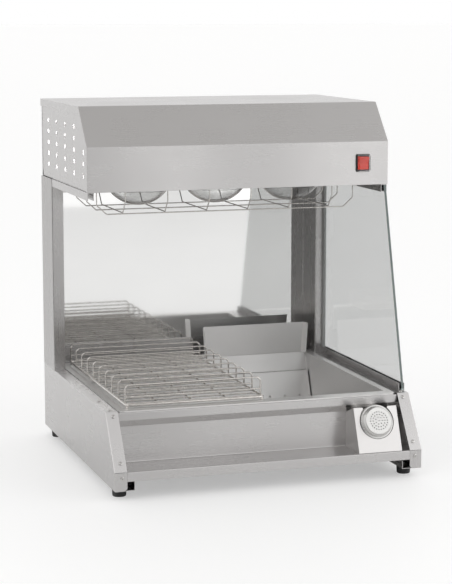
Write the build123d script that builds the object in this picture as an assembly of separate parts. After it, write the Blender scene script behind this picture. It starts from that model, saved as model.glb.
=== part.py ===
from build123d import *
from math import asin, cos, pi, radians, sin, tan
import os

# A counter-top chip warmer: a folded stainless base with a heated-from-above tank and a front shelf,
# two posts with a mirror-finish back, one glass side, and a hood that holds three reflector lamps.
# Millimetres. While the pieces are made, X = 0 is the middle, Y = 0 the low front face and Z = 0 the
# counter; save() then moves every piece so that the origin lies under the middle of the whole box.

# ---- Overall --------------------------------------------------------------------------------------
width = 650.0            # over the side walls
depth = 632.0            # low front face to back
foot_height = 19.0
base_height = 144.0      # side panel, from its bottom edge to the deck
opening_height = 422.5   # deck to the underside of the hood
hood_height = 170.0

# ---- Sheet, wire and clearances -------------------------------------------------------------------
sheet = 1.2              # stainless sheet of every folded piece
bend = 2.0               # outside radius of a fold
wire_sides = 6           # flats that wires, screws and small holes are drawn with
hole_sides = 8           # the same for the vents
round_sides = 12         # the same for small turned pieces
large_sides = 24         # the same for the lamps and the shaker
gap = 0.3                # between folded pieces that don't touch, and round a piece that lifts out
pin_clearance = 0.05     # round a turning pin, a screw or a wire in its clip
weld = 0.25              # how far crossing wires sink into each other

# ---- Base side panels -----------------------------------------------------------------------------
front_height = 38.0      # low vertical front, above the bottom edge
deck_setback = 71.5      # front edge of the deck, behind the low front
flange = 26.0            # width of the folded edges
bottom_flange = 42.0
bottom_lip = 17.0        # turned-up edge of the bottom flange
relief_slot = 0.8
corner_cut = 5.0

# ---- Front rail and shelf -------------------------------------------------------------------------
rim_lip = 3.0            # turned-down edge of the tank's rim; rail and rear leg lie just below it
rail_face = 15.7
rail_depth = 22.5
strip_drop = 13.3        # sloping strip under the rail's face
strip_setback = 6.0
shelf_lip = 19.0
shelf_depth = 79.0
shelf_wall = 80.0

# ---- Tank -----------------------------------------------------------------------------------------
rim_side_inset = 28.0    # ends of the rim, inside the side walls' faces
rim_front = 72.0
rim_rear_inset = 32.0    # rim's rear edge, before the back
rim_corner = 12.0
tank_side_inset = 16.0   # ends of the opening, inside the rim's ends
tank_front = 100.0
tank_rear_inset = 23.0   # opening's rear edge, before the rim's
tank_depth = 114.0       # deck to the tank's floor
tank_slope = 22.0        # degrees, rear wall from the vertical

# ---- False bottom ---------------------------------------------------------------------------------
insert_height = 14.0     # above the tank's floor
insert_side_gap = 2.0
insert_slope_gap = 9.2   # in front of the tank's rear wall, along Y
insert_upstand = 61.0
drain_radius = 2.0
drain_pitch = 36.0
drain_rows = 2           # rows on the floor, besides the row at the foot of the slope
drain_row_pitch = 216.0
drain_slope_height = 6.0

# ---- Posts, mirror panel, rear upstand --------------------------------------------------------------
left_post_width = 26.0
left_post_depth = 102.0
right_post_width = 30.0
right_post_depth = 84.0
post_return = 12.0
upstand_height = 39.0    # above the deck
upstand_leg = 50.0
bracket_height = 32.0
bracket_length = 30.0
bracket_setback = 12.0   # behind the post's front wall

# ---- Glass side -----------------------------------------------------------------------------------
channel_width = 13.0
channel_height = 16.0
channel_inset = 1.0      # from the outer wall's face
channel_front = 92.0
rail_front = 201.0
glass_thickness = 5.0
glass_front_low = 92.0   # front edge at the channel's web
glass_front_high = 203.2 # front edge at the top rail's web
seal_depth = 7.5

# ---- Hood -----------------------------------------------------------------------------------------
hood_setback = 199.5
hood_front_height = 90.9
slope_run = 70.5
side_lip = 16.0          # along the top edge
front_lip = 4.0          # along the slope and the front
front_return = 18.0
rear_return = 14.0
hood_side_flange = 26.0
vent_radius = 5.0
vent_pitch_y = 80.7
vent_pitch_z = 23.6
vent_rear_margin = 30.0  # least distance from the last column to the rear flange
vent_rows = 5
vent_front_rows = 3      # the front column stops under the slope
vent_setback = 41.5      # first column, behind the hood's front
vent_first_z = 31.3      # lowest row, above the hood's underside
back_recess = 12.0       # the back panel lies this far inside the hood's rear edge

# ---- Lamps ----------------------------------------------------------------------------------------
lamp_pitch = 170.0
lamp_setback = 183.5     # behind the hood's front
lamp_drop = 46.5         # lowest point of the lamps, under the hood
lamp_radius = 62.5
lamp_dome = 32.0
lamp_dome_rings = 4
lamp_band = 9.0
lamp_length = 173.0
lamp_neck_radius = 21.0
lamp_neck_height = 122.0 # top of the reflector's cone, above the lowest point
cap_radius = 13.2
cap_length = 25.0
holder_radius = 24.0
holder_top = 11.0        # ceramic above the cap

# ---- Lamp guard -----------------------------------------------------------------------------------
guard_wire = 1.2         # radius
guard_drop = 54.5        # bottom plane under the hood
guard_side_inset = 42.0  # end legs, inside the side walls' faces
guard_slant_long = 21.0  # run of the slope at each end
guard_rise_long = 19.0
guard_row_pitch = 90.0
guard_cross_pitch = 91.0
guard_cross_wires = 6
guard_cross_spread = 22.0
guard_rise_cross = 25.0
guard_leg_top = 8.5      # above the hood's underside
clip_width = 8.0
clip_height = 6.0

# ---- Switch ---------------------------------------------------------------------------------------
switch_inset = 56.15     # centre, inside the right wall's face
switch_z = 46.05         # centre, above the hood's underside
switch_width = 30.9
switch_height = 37.5
bezel = 2.0
switch_body_width = 27.0
switch_body_height = 32.0
switch_body_depth = 22.0
switch_wall = 1.6
rocker_tilt = 10.0       # degrees, either side of the middle
rocker_pin = 1.5
rocker_pin_clearance = 0.1
rocker_pin_depth = 3.0   # behind the bezel's face
rocker_proud = 3.0       # wing tips before the bezel's face, in the middle position
rocker_dip = 2.0         # middle of the rocker's face behind its wing tips
cover_wall = 1.0
cover_depth = 9.0

# ---- Electrical pieces ----------------------------------------------------------------------------
lead_radius = 1.5
lead_hole = 4.0
block_length = 50.0
block_depth = 22.0
block_height = 16.0
block_offset = 57.0      # behind the lamps' centres
gland_radius = 9.0
gland_nut = 14.0
gland_nut_length = 5.0
gland_dome_radius = 7.0
gland_dome_length = 4.0
gland_inset = 95.0       # inside the right wall's face
gland_z = 40.0

# ---- Wire rack ------------------------------------------------------------------------------------
rack_side_inset = 5.0    # inside the tank's left wall
rack_width = 289.0
rack_front = 92.0
rack_rear_inset = 16.0   # before the rim's rear edge
rack_rod = 2.7           # radius
rack_wire = 1.6          # radius
rack_stand = 7.0         # centre of the frame above the deck
rack_loop_pitch = 53.0
rack_loop_inset = 2.0
rack_loop_height = 45.0  # above the deck
rack_mid_height = 21.0
rack_loop_corner = 6.0
rack_runners = 3

# ---- Bay baffle -----------------------------------------------------------------------------------
baffle_setback = 2.0     # wall's show face, before the tank's rear edge
baffle_rack_gap = 27.0   # from the rack
baffle_side_gap = 11.0   # from the tank's right wall
baffle_height = 70.0
baffle_spread = 4.5      # each side, from bottom to top
cheek_forward = 16.0
cheek_outward = 7.0
baffle_foot = 22.0
baffle_foot_inset = 5.0
cheek_corner = 5.0

# ---- Shaker and its holder --------------------------------------------------------------------------
holder_inset = 89.5      # centre, inside the right wall's face
holder_width = 94.0
holder_foot = 2.0        # plate's foot behind the low front
holder_rise = 88.0       # plate's top above the shelf
holder_tilt = 22.0       # degrees from the vertical
holder_hole = 37.0       # radius
holder_hole_drop = 30.0  # centre under the top edge, along the plate
holder_corner = 3.0
holder_side_rise = 72.0  # rear end of the side walls, above the shelf
cradle_stop = 12.0
shaker_radius = 35.5
shaker_back = 38.0       # behind the plate's face
shaker_shoulder = 1.0    # before the plate's face
shaker_wall = 1.0
neck_height = 6.5
lid_radius = 32.0
lid_height = 12.0
lid_wall = 1.2
lid_step = 2.5

# ---- Feet and screws ------------------------------------------------------------------------------
foot_radius = 15.0
foot_taper = 4.0         # degrees
foot_side_inset = 21.0   # centre, inside the side wall's face
foot_front = 45.0
foot_rear_inset = 42.0
bolt_radius = 3.0
bolt_head = 6.5
bolt_head_height = 4.0
foot_recess = 8.5
foot_recess_depth = 8.0
nut_height = 5.0
screw_radius = 2.0
screw_head = 4.0
screw_head_height = 2.0
screw_length = 6.0
front_screw_inset = 15.5 # from the outer wall's face
front_screw_height = 26.0
slope_screw_heights = (54.0, 136.0)
deck_screw_places = (85.0, 175.0)   # the right panel has only the first, before the glass

# ---- Levels and faces worked out from these ---------------------------------------------------------
base_z = foot_height
deck_z = base_z + base_height
hood_z = deck_z + opening_height
top_z = hood_z + hood_height
shelf_z = base_z + front_height
rim_under = deck_z - rim_lip
tank_floor = deck_z - tank_depth
side_x = width / 2
wall_x = side_x - sheet
flange_x = side_x - flange
panel_x = wall_x - gap
back_y = depth - sheet          # front face of the mirror panel and of the rear flanges
channel_x = side_x - channel_inset
hood_inner_x = wall_x - sheet   # inner face of the hood's side panels
tray_z = hood_z + sheet         # the lamp tray lies on the hood's bottom flanges
lamp_low = hood_z - lamp_drop
lamp_top = lamp_low + lamp_length
tray_top = lamp_top + holder_top
middle_y = (depth - screw_head_height) / 2   # the lowest front screws stand out before the flange
slope_angle = tan(radians(tank_slope))
rim_length = width - 2 * rim_side_inset
rim_back = depth - rim_rear_inset
tank_length = rim_length - 2 * tank_side_inset
tank_back = rim_back - tank_rear_inset
left_post_front = depth - left_post_depth
right_post_front = depth - right_post_depth
vent_first_y = hood_setback + vent_setback
vent_columns = int((back_y - vent_rear_margin - vent_first_y) // vent_pitch_y) + 1
lamp_y = hood_setback + lamp_setback
guard_half_length = side_x - guard_side_inset
guard_flat_length = guard_half_length - guard_slant_long
switch_x = side_x - switch_inset
block_y = lamp_y + block_offset
gland_x = side_x - gland_inset
rack_left = rack_side_inset - tank_length / 2
rack_right = rack_left + rack_width
rack_back = rim_back - rack_rear_inset
rack_loops = int((rack_back - rack_front) // rack_loop_pitch) + 1
baffle_y = tank_back - baffle_setback
baffle_left = rack_right + baffle_rack_gap
baffle_right = tank_length / 2 - baffle_side_gap
holder_x = side_x - holder_inset
foot_x = side_x - foot_side_inset
foot_back = depth - foot_rear_inset


def block(x_range, y_range, z_range):
    """A box between two limits along each axis."""
    size = [high - low for low, high in (x_range, y_range, z_range)]
    middle = [(high + low) / 2 for low, high in (x_range, y_range, z_range)]
    return Pos(*middle) * Box(*size)


def side_plate(points, x_start, thickness):
    """A plate in the YZ plane, given by its outline of (y, z) points."""
    face = make_face(Polyline(*points, close=True))
    return extrude(Plane.YZ.offset(x_start) * face, amount=thickness)


def folded(points, x_start, x_end):
    """A folded sheet along X. The (y, z) points follow its show face, and the sheet lies to their right."""
    path = FilletPolyline(*points, radius=bend) if len(points) > 2 else Polyline(*points)
    edge = offset(path, sheet, kind=Kind.INTERSECTION, side=Side.RIGHT)
    return extrude(Plane.YZ.offset(x_start) * make_face(edge.edges()), amount=x_end - x_start)


def small_rod(start, end, radius):
    """A wire, screw shank or small drill, from one point to another."""
    path = Line(start, end)
    plane = Plane(origin=start, z_dir=path % 0)
    return extrude(plane * RegularPolygon(radius, wire_sides), amount=path.length)


def bent_wire(points, radius):
    """A wire that turns sharply at each point of its route."""
    path = Polyline(*points)
    plane = Plane(origin=path @ 0, z_dir=path % 0)
    return sweep(plane * RegularPolygon(radius, wire_sides), path=path, transition=Transition.RIGHT)


def stacked(levels):
    """A turned piece drawn with flats, through (radius, height) levels along Z."""
    turns = [2 * pi * index / large_sides for index in range(large_sides)]
    rings = [
        [Vector(radius * cos(turn), radius * sin(turn), height) for turn in turns]
        for radius, height in levels
    ]
    outlines = [rings[0], rings[-1]]
    for lower, upper in zip(rings, rings[1:]):
        for index in range(large_sides):
            outlines.append([lower[index - 1], lower[index], upper[index], upper[index - 1]])
    return Solid(Shell([Face(Wire.make_polygon(outline)) for outline in outlines]))


def both_sides(piece):
    """The piece and its mirror image across the middle."""
    return [piece, mirror(piece, about=Plane.YZ)]


# ---- Base -----------------------------------------------------------------------------------------
def base_outline():
    """(y, z) corners of a base side panel."""
    return [
        (0, base_z),
        (0, shelf_z),
        (deck_setback, deck_z),
        (depth, deck_z),
        (depth, base_z),
    ]


def front_screw_planes():
    """Seats of the screws on the right panel's front flanges, two on the slope and one below."""
    outward = Vector(0, shelf_z - deck_z, deck_setback)
    lean = deck_setback / (deck_z - shelf_z)
    x = side_x - front_screw_inset
    planes = [
        Plane(origin=(x, (height - front_height) * lean, base_z + height), z_dir=outward)
        for height in slope_screw_heights
    ]
    planes.append(Plane(origin=(x, 0, base_z + front_screw_height), z_dir=(0, -1, 0)))
    return planes


def deck_screw_planes(places):
    """Seats of the screws on the right panel's deck flange."""
    return [Plane(origin=(side_x - flange / 2, y, deck_z), z_dir=(0, 0, 1)) for y in places]


def screw(plane):
    """A pan-head screw whose head lies on the plane's outer side."""
    head = extrude(plane * RegularPolygon(screw_head, wire_sides), amount=screw_head_height)
    shank = extrude(plane * RegularPolygon(screw_radius, wire_sides), amount=-screw_length)
    return head + shank


def screw_hole(plane):
    """The clearance hole of a screw, through every sheet that its shank reaches."""
    section = plane * RegularPolygon(screw_radius + pin_clearance, wire_sides)
    return extrude(section, amount=screw_length + sheet, both=True)


def side_panel(deck_screw_y):
    """Right side panel: a wall with its edges folded inwards all round."""
    outline = make_face(Polyline(*base_outline(), close=True))
    wall = extrude(Plane.YZ.offset(flange_x) * outline, amount=flange)
    wall = fillet(wall.faces().sort_by(Axis.X)[-1].edges(), bend)
    inside = offset(outline, -sheet, kind=Kind.INTERSECTION)
    wall -= extrude(Plane.YZ.offset(flange_x) * inside, amount=flange - sheet)
    lip_x = side_x - bottom_flange
    length = (bend, back_y - sheet - gap)
    wall += block((lip_x, flange_x + sheet), length, (base_z, base_z + sheet))
    wall += block((lip_x, lip_x + sheet), length, (base_z, base_z + bottom_lip))
    slot = (shelf_z - relief_slot, shelf_z)
    wall -= block((flange_x, wall_x), (0, sheet), slot)
    corner = Pos(flange_x, 0, base_z) * Rot(0, 45, 0) * Box(
        corner_cut * 2**0.5, 2 * sheet, corner_cut * 2**0.5
    )
    wall -= corner
    for plane in front_screw_planes() + deck_screw_planes(deck_screw_y):
        wall -= screw_hole(plane)
    for y in (foot_front, foot_back):
        wall -= small_rod(
            (foot_x, y, base_z - sheet), (foot_x, y, base_z + 2 * sheet), bolt_radius + pin_clearance
        )
    return wall


def front_rail():
    """Rail under the front of the tank's rim, with a sloping strip below its face."""
    low_z = rim_under - rail_face - strip_drop
    rail = folded(
        [
            (deck_setback + strip_setback, low_z),
            (deck_setback, rim_under - rail_face),
            (deck_setback, rim_under),
            (deck_setback + rail_depth, rim_under),
        ],
        -wall_x,
        wall_x,
    )
    for plane in front_screw_planes()[1:2] + deck_screw_planes(deck_screw_places[:1]):
        for hole in both_sides(screw_hole(plane)):
            rail -= hole
    return rail


def front_shelf():
    """Lip, floor and rear wall in one sheet; floor and wall reach behind the side flanges."""
    floor_and_wall = [(shelf_depth, shelf_z), (shelf_depth, shelf_z + shelf_wall)]
    lip = [(0, shelf_z - shelf_lip), (0, shelf_z)]
    behind_flange = [(bend + sheet, shelf_z)]
    narrow = folded(lip + floor_and_wall, gap - flange_x, flange_x - gap)
    return narrow + folded(behind_flange + floor_and_wall, -wall_x, wall_x)


def tank():
    """Tank with a flat rim, turned down at its edge, and a sloping rear wall."""
    rim_width = rim_back - rim_front
    rim_middle = Pos(0, (rim_back + rim_front) / 2, rim_under)
    rim = rim_middle * extrude(RectangleRounded(rim_length, rim_width, rim_corner), amount=rim_lip)
    inside = RectangleRounded(rim_length - 2 * sheet, rim_width - 2 * sheet, rim_corner - sheet)
    rim -= rim_middle * extrude(inside, amount=rim_lip - sheet)
    half = tank_length / 2
    floor_back = tank_back - tank_depth * slope_angle

    def cavity(top):
        return [
            (tank_front, top),
            (tank_front, tank_floor),
            (floor_back, tank_floor),
            (tank_back + (top - deck_z) * slope_angle, top),
        ]

    shell = offset(
        make_face(Polyline(*cavity(deck_z - sheet), close=True)), sheet, kind=Kind.INTERSECTION
    )
    shell = extrude(Plane.YZ.offset(-half - sheet) * shell, amount=tank_length + 2 * sheet)
    return rim + shell - side_plate(cavity(deck_z + sheet), -half, tank_length)


def false_bottom():
    """Perforated insert on turned-down edges, with an upstand parallel to the tank's rear wall."""
    half = tank_length / 2 - insert_side_gap
    front = tank_front + insert_side_gap
    low = tank_floor + gap
    top = tank_floor + insert_height
    slope_foot = tank_back - (tank_depth - insert_height) * slope_angle - insert_slope_gap
    slope_top = slope_foot + insert_upstand * slope_angle
    flange_end = slope_top + insert_slope_gap - 2 * gap
    insert = folded(
        [
            (front, low),
            (front, top),
            (slope_foot, top),
            (slope_top, top + insert_upstand),
            (flange_end, top + insert_upstand),
        ],
        -half,
        half,
    )
    side = [(front + bend, low), (front + bend, top), (slope_foot, top), (slope_foot, low)]
    insert += side_plate(side, half - sheet, sheet)
    insert += side_plate(side, -half, sheet)
    columns = int(2 * (half - drain_pitch / 2) // drain_pitch) + 1
    row_y = slope_foot + drain_slope_height * slope_angle
    row_z = top + drain_slope_height
    reach = 4 * sheet
    for column in range(columns):
        x = (column - (columns - 1) / 2) * drain_pitch
        insert -= small_rod((x, row_y - reach, row_z), (x, row_y + reach, row_z), drain_radius)
    for row in range(drain_rows):
        y = front + drain_pitch + row * drain_row_pitch
        for column in range(columns):
            x = (column - (columns - 1) / 2) * drain_pitch
            insert -= small_rod((x, y, top - 2 * sheet), (x, y, top + sheet), drain_radius)
    return insert


def rear_upstand():
    """Angle behind the tank: its leg carries the rear of the rim, its wall stands before the mirror."""
    wall_front = back_y - sheet
    leg_front = wall_front - upstand_leg
    angle = folded(
        [(leg_front, rim_under), (wall_front, rim_under), (wall_front, deck_z + upstand_height)],
        gap - side_x + left_post_width,
        side_x - right_post_width - gap,
    )
    leg = block((-wall_x, wall_x), (leg_front, wall_front - bend), (rim_under - sheet, rim_under))
    return angle + leg


def base_back_panel():
    """Flat panel before the rear flanges of the side panels, up to the upstand's leg."""
    return block((-panel_x, panel_x), (back_y - sheet, back_y), (base_z + sheet, rim_under - sheet))


# ---- Niche ----------------------------------------------------------------------------------------
def post(post_width, post_front):
    """Left-hand post: outer, front and inner wall, and a return that carries the mirror panel."""
    inner = post_width - side_x
    path = FilletPolyline(
        (-side_x, depth),
        (-side_x, post_front),
        (inner, post_front),
        (inner, back_y),
        (inner - post_return, back_y),
        radius=bend,
    )
    section = make_face(offset(path, sheet, kind=Kind.INTERSECTION, side=Side.RIGHT).edges())
    post_solid = Pos(0, 0, deck_z) * extrude(section, amount=opening_height)
    return post_solid - screw_hole(post_screw_plane(post_width, post_front))


def post_screw_plane(post_width, post_front):
    """Seat of the screw on a left-hand post's inner wall."""
    y = post_front + bracket_setback + bracket_length / 2
    return Plane(origin=(post_width - side_x, y, deck_z + channel_height), z_dir=(1, 0, 0))


def post_bracket(post_width, post_front):
    """Angle inside a left-hand post, screwed to its inner wall and standing on the deck flange."""
    face = post_width - side_x - sheet
    start = post_front + bracket_setback
    y_range = (start, start + bracket_length)
    upright = block((face - sheet, face), y_range, (deck_z, deck_z + bracket_height))
    foot = block((2 * gap - wall_x, face), y_range, (deck_z, deck_z + sheet))
    return upright + foot - screw_hole(post_screw_plane(post_width, post_front))


def mirror_panel():
    return block((-panel_x, panel_x), (back_y, depth), (deck_z, hood_z))


def top_rail(post_front):
    """Right-hand channel under the hood, open downwards."""
    outer = (channel_x - channel_width, channel_x)
    rail = block(outer, (rail_front, post_front), (hood_z - channel_height, hood_z))
    inner = (outer[0] + sheet, outer[1] - sheet)
    return rail - block(inner, (rail_front, post_front), (hood_z - channel_height, hood_z - sheet))


def glass_channel():
    """Right-hand channel on the deck, open upwards."""
    outer = (channel_x - channel_width, channel_x)
    length = (channel_front, right_post_front)
    channel = block(outer, length, (deck_z, deck_z + channel_height))
    inner = (outer[0] + sheet, outer[1] - sheet)
    return channel - block(inner, length, (deck_z + sheet, deck_z + channel_height))


def side_glass():
    """Pane that stands in the lower channel and leans back along its front edge."""
    low, high = deck_z + sheet, hood_z - sheet - gap
    rear = right_post_front - gap
    outline = [(glass_front_low, low), (glass_front_high, high), (rear, high), (rear, low)]
    return side_plate(outline, channel_x - sheet - glass_thickness, glass_thickness)


def glass_rear_seal():
    """Rubber strip between the pane and the channels' inner legs, beside the post."""
    x_range = (channel_x - channel_width + sheet + gap, channel_x - sheet - glass_thickness)
    rear = right_post_front - gap
    return block(x_range, (rear - seal_depth, rear), (deck_z + sheet, hood_z - sheet - gap))


# ---- Hood -----------------------------------------------------------------------------------------
def hood_bends():
    """(y, z) points of the hood's show faces, from the front's lower edge to the rear edge."""
    return [
        (hood_setback, hood_z),
        (hood_setback, hood_z + hood_front_height),
        (hood_setback + slope_run, top_z),
        (depth, top_z),
    ]


def hood_region(inset, low, high, rear):
    """The hood's side outline, drawn in from its show faces and limited below, above and behind."""
    beyond = hood_height
    points = hood_bends()
    closed = Polyline(
        (hood_setback, hood_z - beyond), *points[1:3],
        (depth + beyond, top_z), (depth + beyond, hood_z - beyond), close=True,
    )
    face = make_face(closed)
    if inset:
        face = offset(face, -inset, kind=Kind.INTERSECTION)
    middle = ((hood_setback + rear) / 2, (low + high) / 2)
    return face & Pos(*middle) * Rectangle(rear - hood_setback, high - low)


def hood_cover():
    """Front, slope and top in one sheet, with lips down the sides and returns below and behind."""
    rear = [(depth, top_z - rear_return)]
    cover = folded(hood_bends() + rear, -wall_x, wall_x)
    return_x = hood_inner_x - hood_side_flange
    inward = [(hood_setback + front_return, hood_z), (hood_setback, hood_z)]
    cover += folded(inward + [(hood_setback, hood_z + front_return)], gap - return_x, return_x - gap)
    lip = hood_region(0, hood_z, top_z, depth) - hood_region(
        front_lip, hood_z - sheet, top_z - side_lip, depth + sheet
    )
    lip_solid = extrude(Plane.YZ.offset(wall_x) * lip, amount=sheet)
    for side in both_sides(lip_solid):
        cover += side
    half_width = switch_body_width / 2 + pin_clearance
    half_height = switch_body_height / 2 + pin_clearance
    cover -= block(
        (switch_x - half_width, switch_x + half_width),
        (hood_setback - sheet, hood_setback + 2 * sheet),
        (hood_z + switch_z - half_height, hood_z + switch_z + half_height),
    )
    for plane in hood_screw_planes():
        cover -= screw_hole(plane)
    return cover


def hood_screw_planes():
    """Seats of the screws that hold the cover's front return to the lamp tray, from below."""
    y = hood_setback + front_return / 2
    return [
        Plane(origin=(x, y, hood_z), z_dir=(0, 0, -1))
        for x in (-1.5 * lamp_pitch, -0.5 * lamp_pitch, 0.5 * lamp_pitch, 1.5 * lamp_pitch)
    ]


def hood_side():
    """Right-hand side of the hood, set in behind the cover's lip, with its vents and bottom flange."""
    outline = hood_region(sheet, hood_z, top_z - sheet, back_y)
    side = extrude(Plane.YZ.offset(hood_inner_x) * outline, amount=sheet)
    inner = hood_inner_x - hood_side_flange
    side += block((inner, hood_inner_x), (hood_setback + sheet, back_y), (hood_z, hood_z + sheet))
    for column in range(vent_columns):
        rows = vent_front_rows if column == 0 else vent_rows
        for row in range(rows):
            y = vent_first_y + column * vent_pitch_y
            z = hood_z + vent_first_z + row * vent_pitch_z
            seat = Plane(origin=(hood_inner_x, y, z), z_dir=(1, 0, 0))
            vent = seat * RegularPolygon(vent_radius, hole_sides)
            side -= extrude(vent, amount=2 * sheet, both=True)
    return side


def hood_back_panel():
    """Back of the hood, set in from its rear edge and turned back along its sides and bottom."""
    face_y = depth - back_recess
    half = hood_inner_x
    low, high = hood_z + sheet, top_z - sheet
    panel = block((-half, half), (face_y - sheet, face_y), (low, high))
    for x in (-half, half - sheet):
        panel += block((x, x + sheet), (face_y - sheet, back_y - gap), (low, high))
    seat = Plane(origin=(gland_x, face_y, hood_z + gland_z), z_dir=(0, 1, 0))
    barrel = seat * RegularPolygon(gland_radius + pin_clearance, round_sides)
    panel -= extrude(barrel, amount=2 * sheet, both=True)
    return_x = hood_inner_x - hood_side_flange - gap
    return panel + block((-return_x, return_x), (face_y - sheet, depth), (hood_z, low))


def cable_gland():
    """Gland for the mains lead: a barrel through the back panel between two nuts, with its dome."""
    face_y = depth - back_recess
    back = Plane(origin=(gland_x, face_y, hood_z + gland_z), z_dir=(0, 1, 0))
    front = Plane(origin=(gland_x, face_y - sheet, hood_z + gland_z), z_dir=(0, -1, 0))
    gland = extrude(back * RegularPolygon(gland_nut, 6), amount=gland_nut_length)
    gland += extrude(front * RegularPolygon(gland_nut, 6), amount=gland_nut_length)
    gland += extrude(back * RegularPolygon(gland_radius, round_sides), amount=-sheet)
    dome = back.offset(gland_nut_length) * RegularPolygon(gland_dome_radius, round_sides)
    gland += extrude(dome, amount=gland_dome_length, taper=15)
    bore = front * RegularPolygon(gland_dome_radius / 2, round_sides)
    return gland - extrude(bore, amount=2 * back_recess, both=True)


def trough_ranges():
    """Outer X and Y limits of the lamp trough, close outside the legs of the guard."""
    reach = guard_wire + pin_clearance + sheet
    half_x = guard_half_length + reach
    half_y = guard_row_pitch + guard_cross_spread + reach
    return (-half_x, half_x), (lamp_y - half_y, lamp_y + half_y)


def lamp_tray():
    """Underside of the hood, with a trough that takes the three lamps."""
    x_range, y_range = trough_ranges()
    rear = depth - back_recess - sheet
    plate_y = (hood_setback + bend, rear)
    tray = block((-hood_inner_x, hood_inner_x), plate_y, (tray_z, tray_z + sheet))
    tray += block(x_range, y_range, (tray_z, tray_top + sheet))
    inner_x = (x_range[0] + sheet, x_range[1] - sheet)
    inner_y = (y_range[0] + sheet, y_range[1] - sheet)
    tray -= block(inner_x, inner_y, (tray_z, tray_top))
    for x in lamp_places():
        tray -= small_rod((x, lamp_y, tray_top - sheet), (x, lamp_y, tray_top + 2 * sheet), lead_hole)
    for plane in hood_screw_planes():
        tray -= screw_hole(plane.offset(-sheet))
    return tray


def lamp_places():
    return [-lamp_pitch, 0, lamp_pitch]


def lampholder(x):
    """Ceramic holder under the trough's top, with the bore for the lamp's cap."""
    low = lamp_top - cap_length
    holder = extrude(RegularPolygon(holder_radius, round_sides), amount=tray_top - low)
    bore = extrude(RegularPolygon(cap_radius + pin_clearance, round_sides), amount=cap_length)
    passage = small_rod((0, 0, 0), (0, 0, tray_top - low), lead_hole)
    return Pos(x, lamp_y, low) * (holder - bore - passage)


def lamp(x):
    """Reflector lamp: domed glass, a band at the widest part, the cone and the neck."""
    sphere = (lamp_radius**2 + lamp_dome**2) / (2 * lamp_dome)
    ring_angle = asin(lamp_radius / sphere) / lamp_dome_rings
    levels = [(sphere * sin(ring_angle / 2), 0)]
    for ring in range(1, lamp_dome_rings + 1):
        angle = ring * ring_angle
        levels.append((sphere * sin(angle), sphere * (1 - cos(angle))))
    levels += [
        (lamp_radius, lamp_dome + lamp_band),
        (lamp_neck_radius, lamp_neck_height),
        (lamp_neck_radius, lamp_length - cap_length),
    ]
    return Pos(x, lamp_y, lamp_low) * stacked(levels)


def lamp_cap(x):
    """Screw cap of a lamp, inside its holder."""
    cap = extrude(RegularPolygon(cap_radius, round_sides), amount=-cap_length)
    return Pos(x, lamp_y, lamp_top) * cap


def long_guard_wire(y):
    """Guard wire along X: flat under the lamps, up and out at its ends, then up into the trough."""
    low = hood_z - guard_drop
    route = [
        (guard_half_length, hood_z + guard_leg_top),
        (guard_half_length, low + guard_rise_long),
        (guard_flat_length, low),
    ]
    points = [(-x, y, z) for x, z in route] + [(x, y, z) for x, z in reversed(route)]
    return bent_wire(points, guard_wire)


def cross_guard_wire(x):
    """Guard wire along Y, welded on top of the long wires."""
    low = hood_z - guard_drop + 2 * guard_wire - weld
    route = [
        (guard_row_pitch + guard_cross_spread, hood_z + guard_leg_top),
        (guard_row_pitch + guard_cross_spread, low + guard_rise_cross),
        (guard_row_pitch, low),
    ]
    points = [(x, lamp_y - y, z) for y, z in route] + [(x, lamp_y + y, z) for y, z in reversed(route)]
    return bent_wire(points, guard_wire)


def lamp_guard():
    """Welded wire basket under the lamps: three long wires and six cross wires."""
    guard = Part()
    for row in (-1, 0, 1):
        guard += long_guard_wire(lamp_y + row * guard_row_pitch)
    for index in range(guard_cross_wires):
        guard += cross_guard_wire((index - (guard_cross_wires - 1) / 2) * guard_cross_pitch)
    return guard


def guard_clip(x_side, y):
    """Clip that holds one end leg of the guard against the trough's end wall."""
    wall = guard_half_length + guard_wire + pin_clearance
    inner = guard_half_length - guard_wire - sheet
    low = hood_z + 2 * sheet
    clip = block((inner, wall), (y - clip_width / 2, y + clip_width / 2), (low, low + clip_height))
    slot = guard_wire + pin_clearance
    clip -= block((guard_half_length - slot, wall), (y - slot, y + slot), (low, low + clip_height))
    return clip if x_side > 0 else mirror(clip, about=Plane.YZ)


def guard_clips():
    return [
        guard_clip(side, lamp_y + row * guard_row_pitch) for side in (-1, 1) for row in (-1, 0, 1)
    ]


# ---- Switch ---------------------------------------------------------------------------------------
def switch_block(half_width, half_height, y_range):
    """A box centred on the switch."""
    z = hood_z + switch_z
    x_range = (switch_x - half_width, switch_x + half_width)
    return block(x_range, y_range, (z - half_height, z + half_height))


def rocker_axis_y():
    return hood_setback - bezel + rocker_pin_depth


def rocker_pin_rod(radius, reach):
    """The rocker's hinge pin, or the hole for it, along X."""
    half = switch_body_width / 2 - switch_wall + reach
    rod = extrude(Plane.YZ * Circle(radius), amount=half, both=True)
    return Pos(switch_x, rocker_axis_y(), hood_z + switch_z) * rod


def switch_frame():
    """Bezel before the hood and a body behind it, hollow for the rocker."""
    front = hood_setback - bezel
    frame = switch_block(switch_width / 2, switch_height / 2, (front, hood_setback))
    frame += switch_block(
        switch_body_width / 2, switch_body_height / 2, (front, hood_setback + switch_body_depth)
    )
    frame -= switch_block(
        switch_body_width / 2 - switch_wall,
        switch_body_height / 2 - switch_wall,
        (front, hood_setback + switch_body_depth - switch_wall),
    )
    return frame - rocker_pin_rod(rocker_pin + rocker_pin_clearance, switch_wall)


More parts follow.
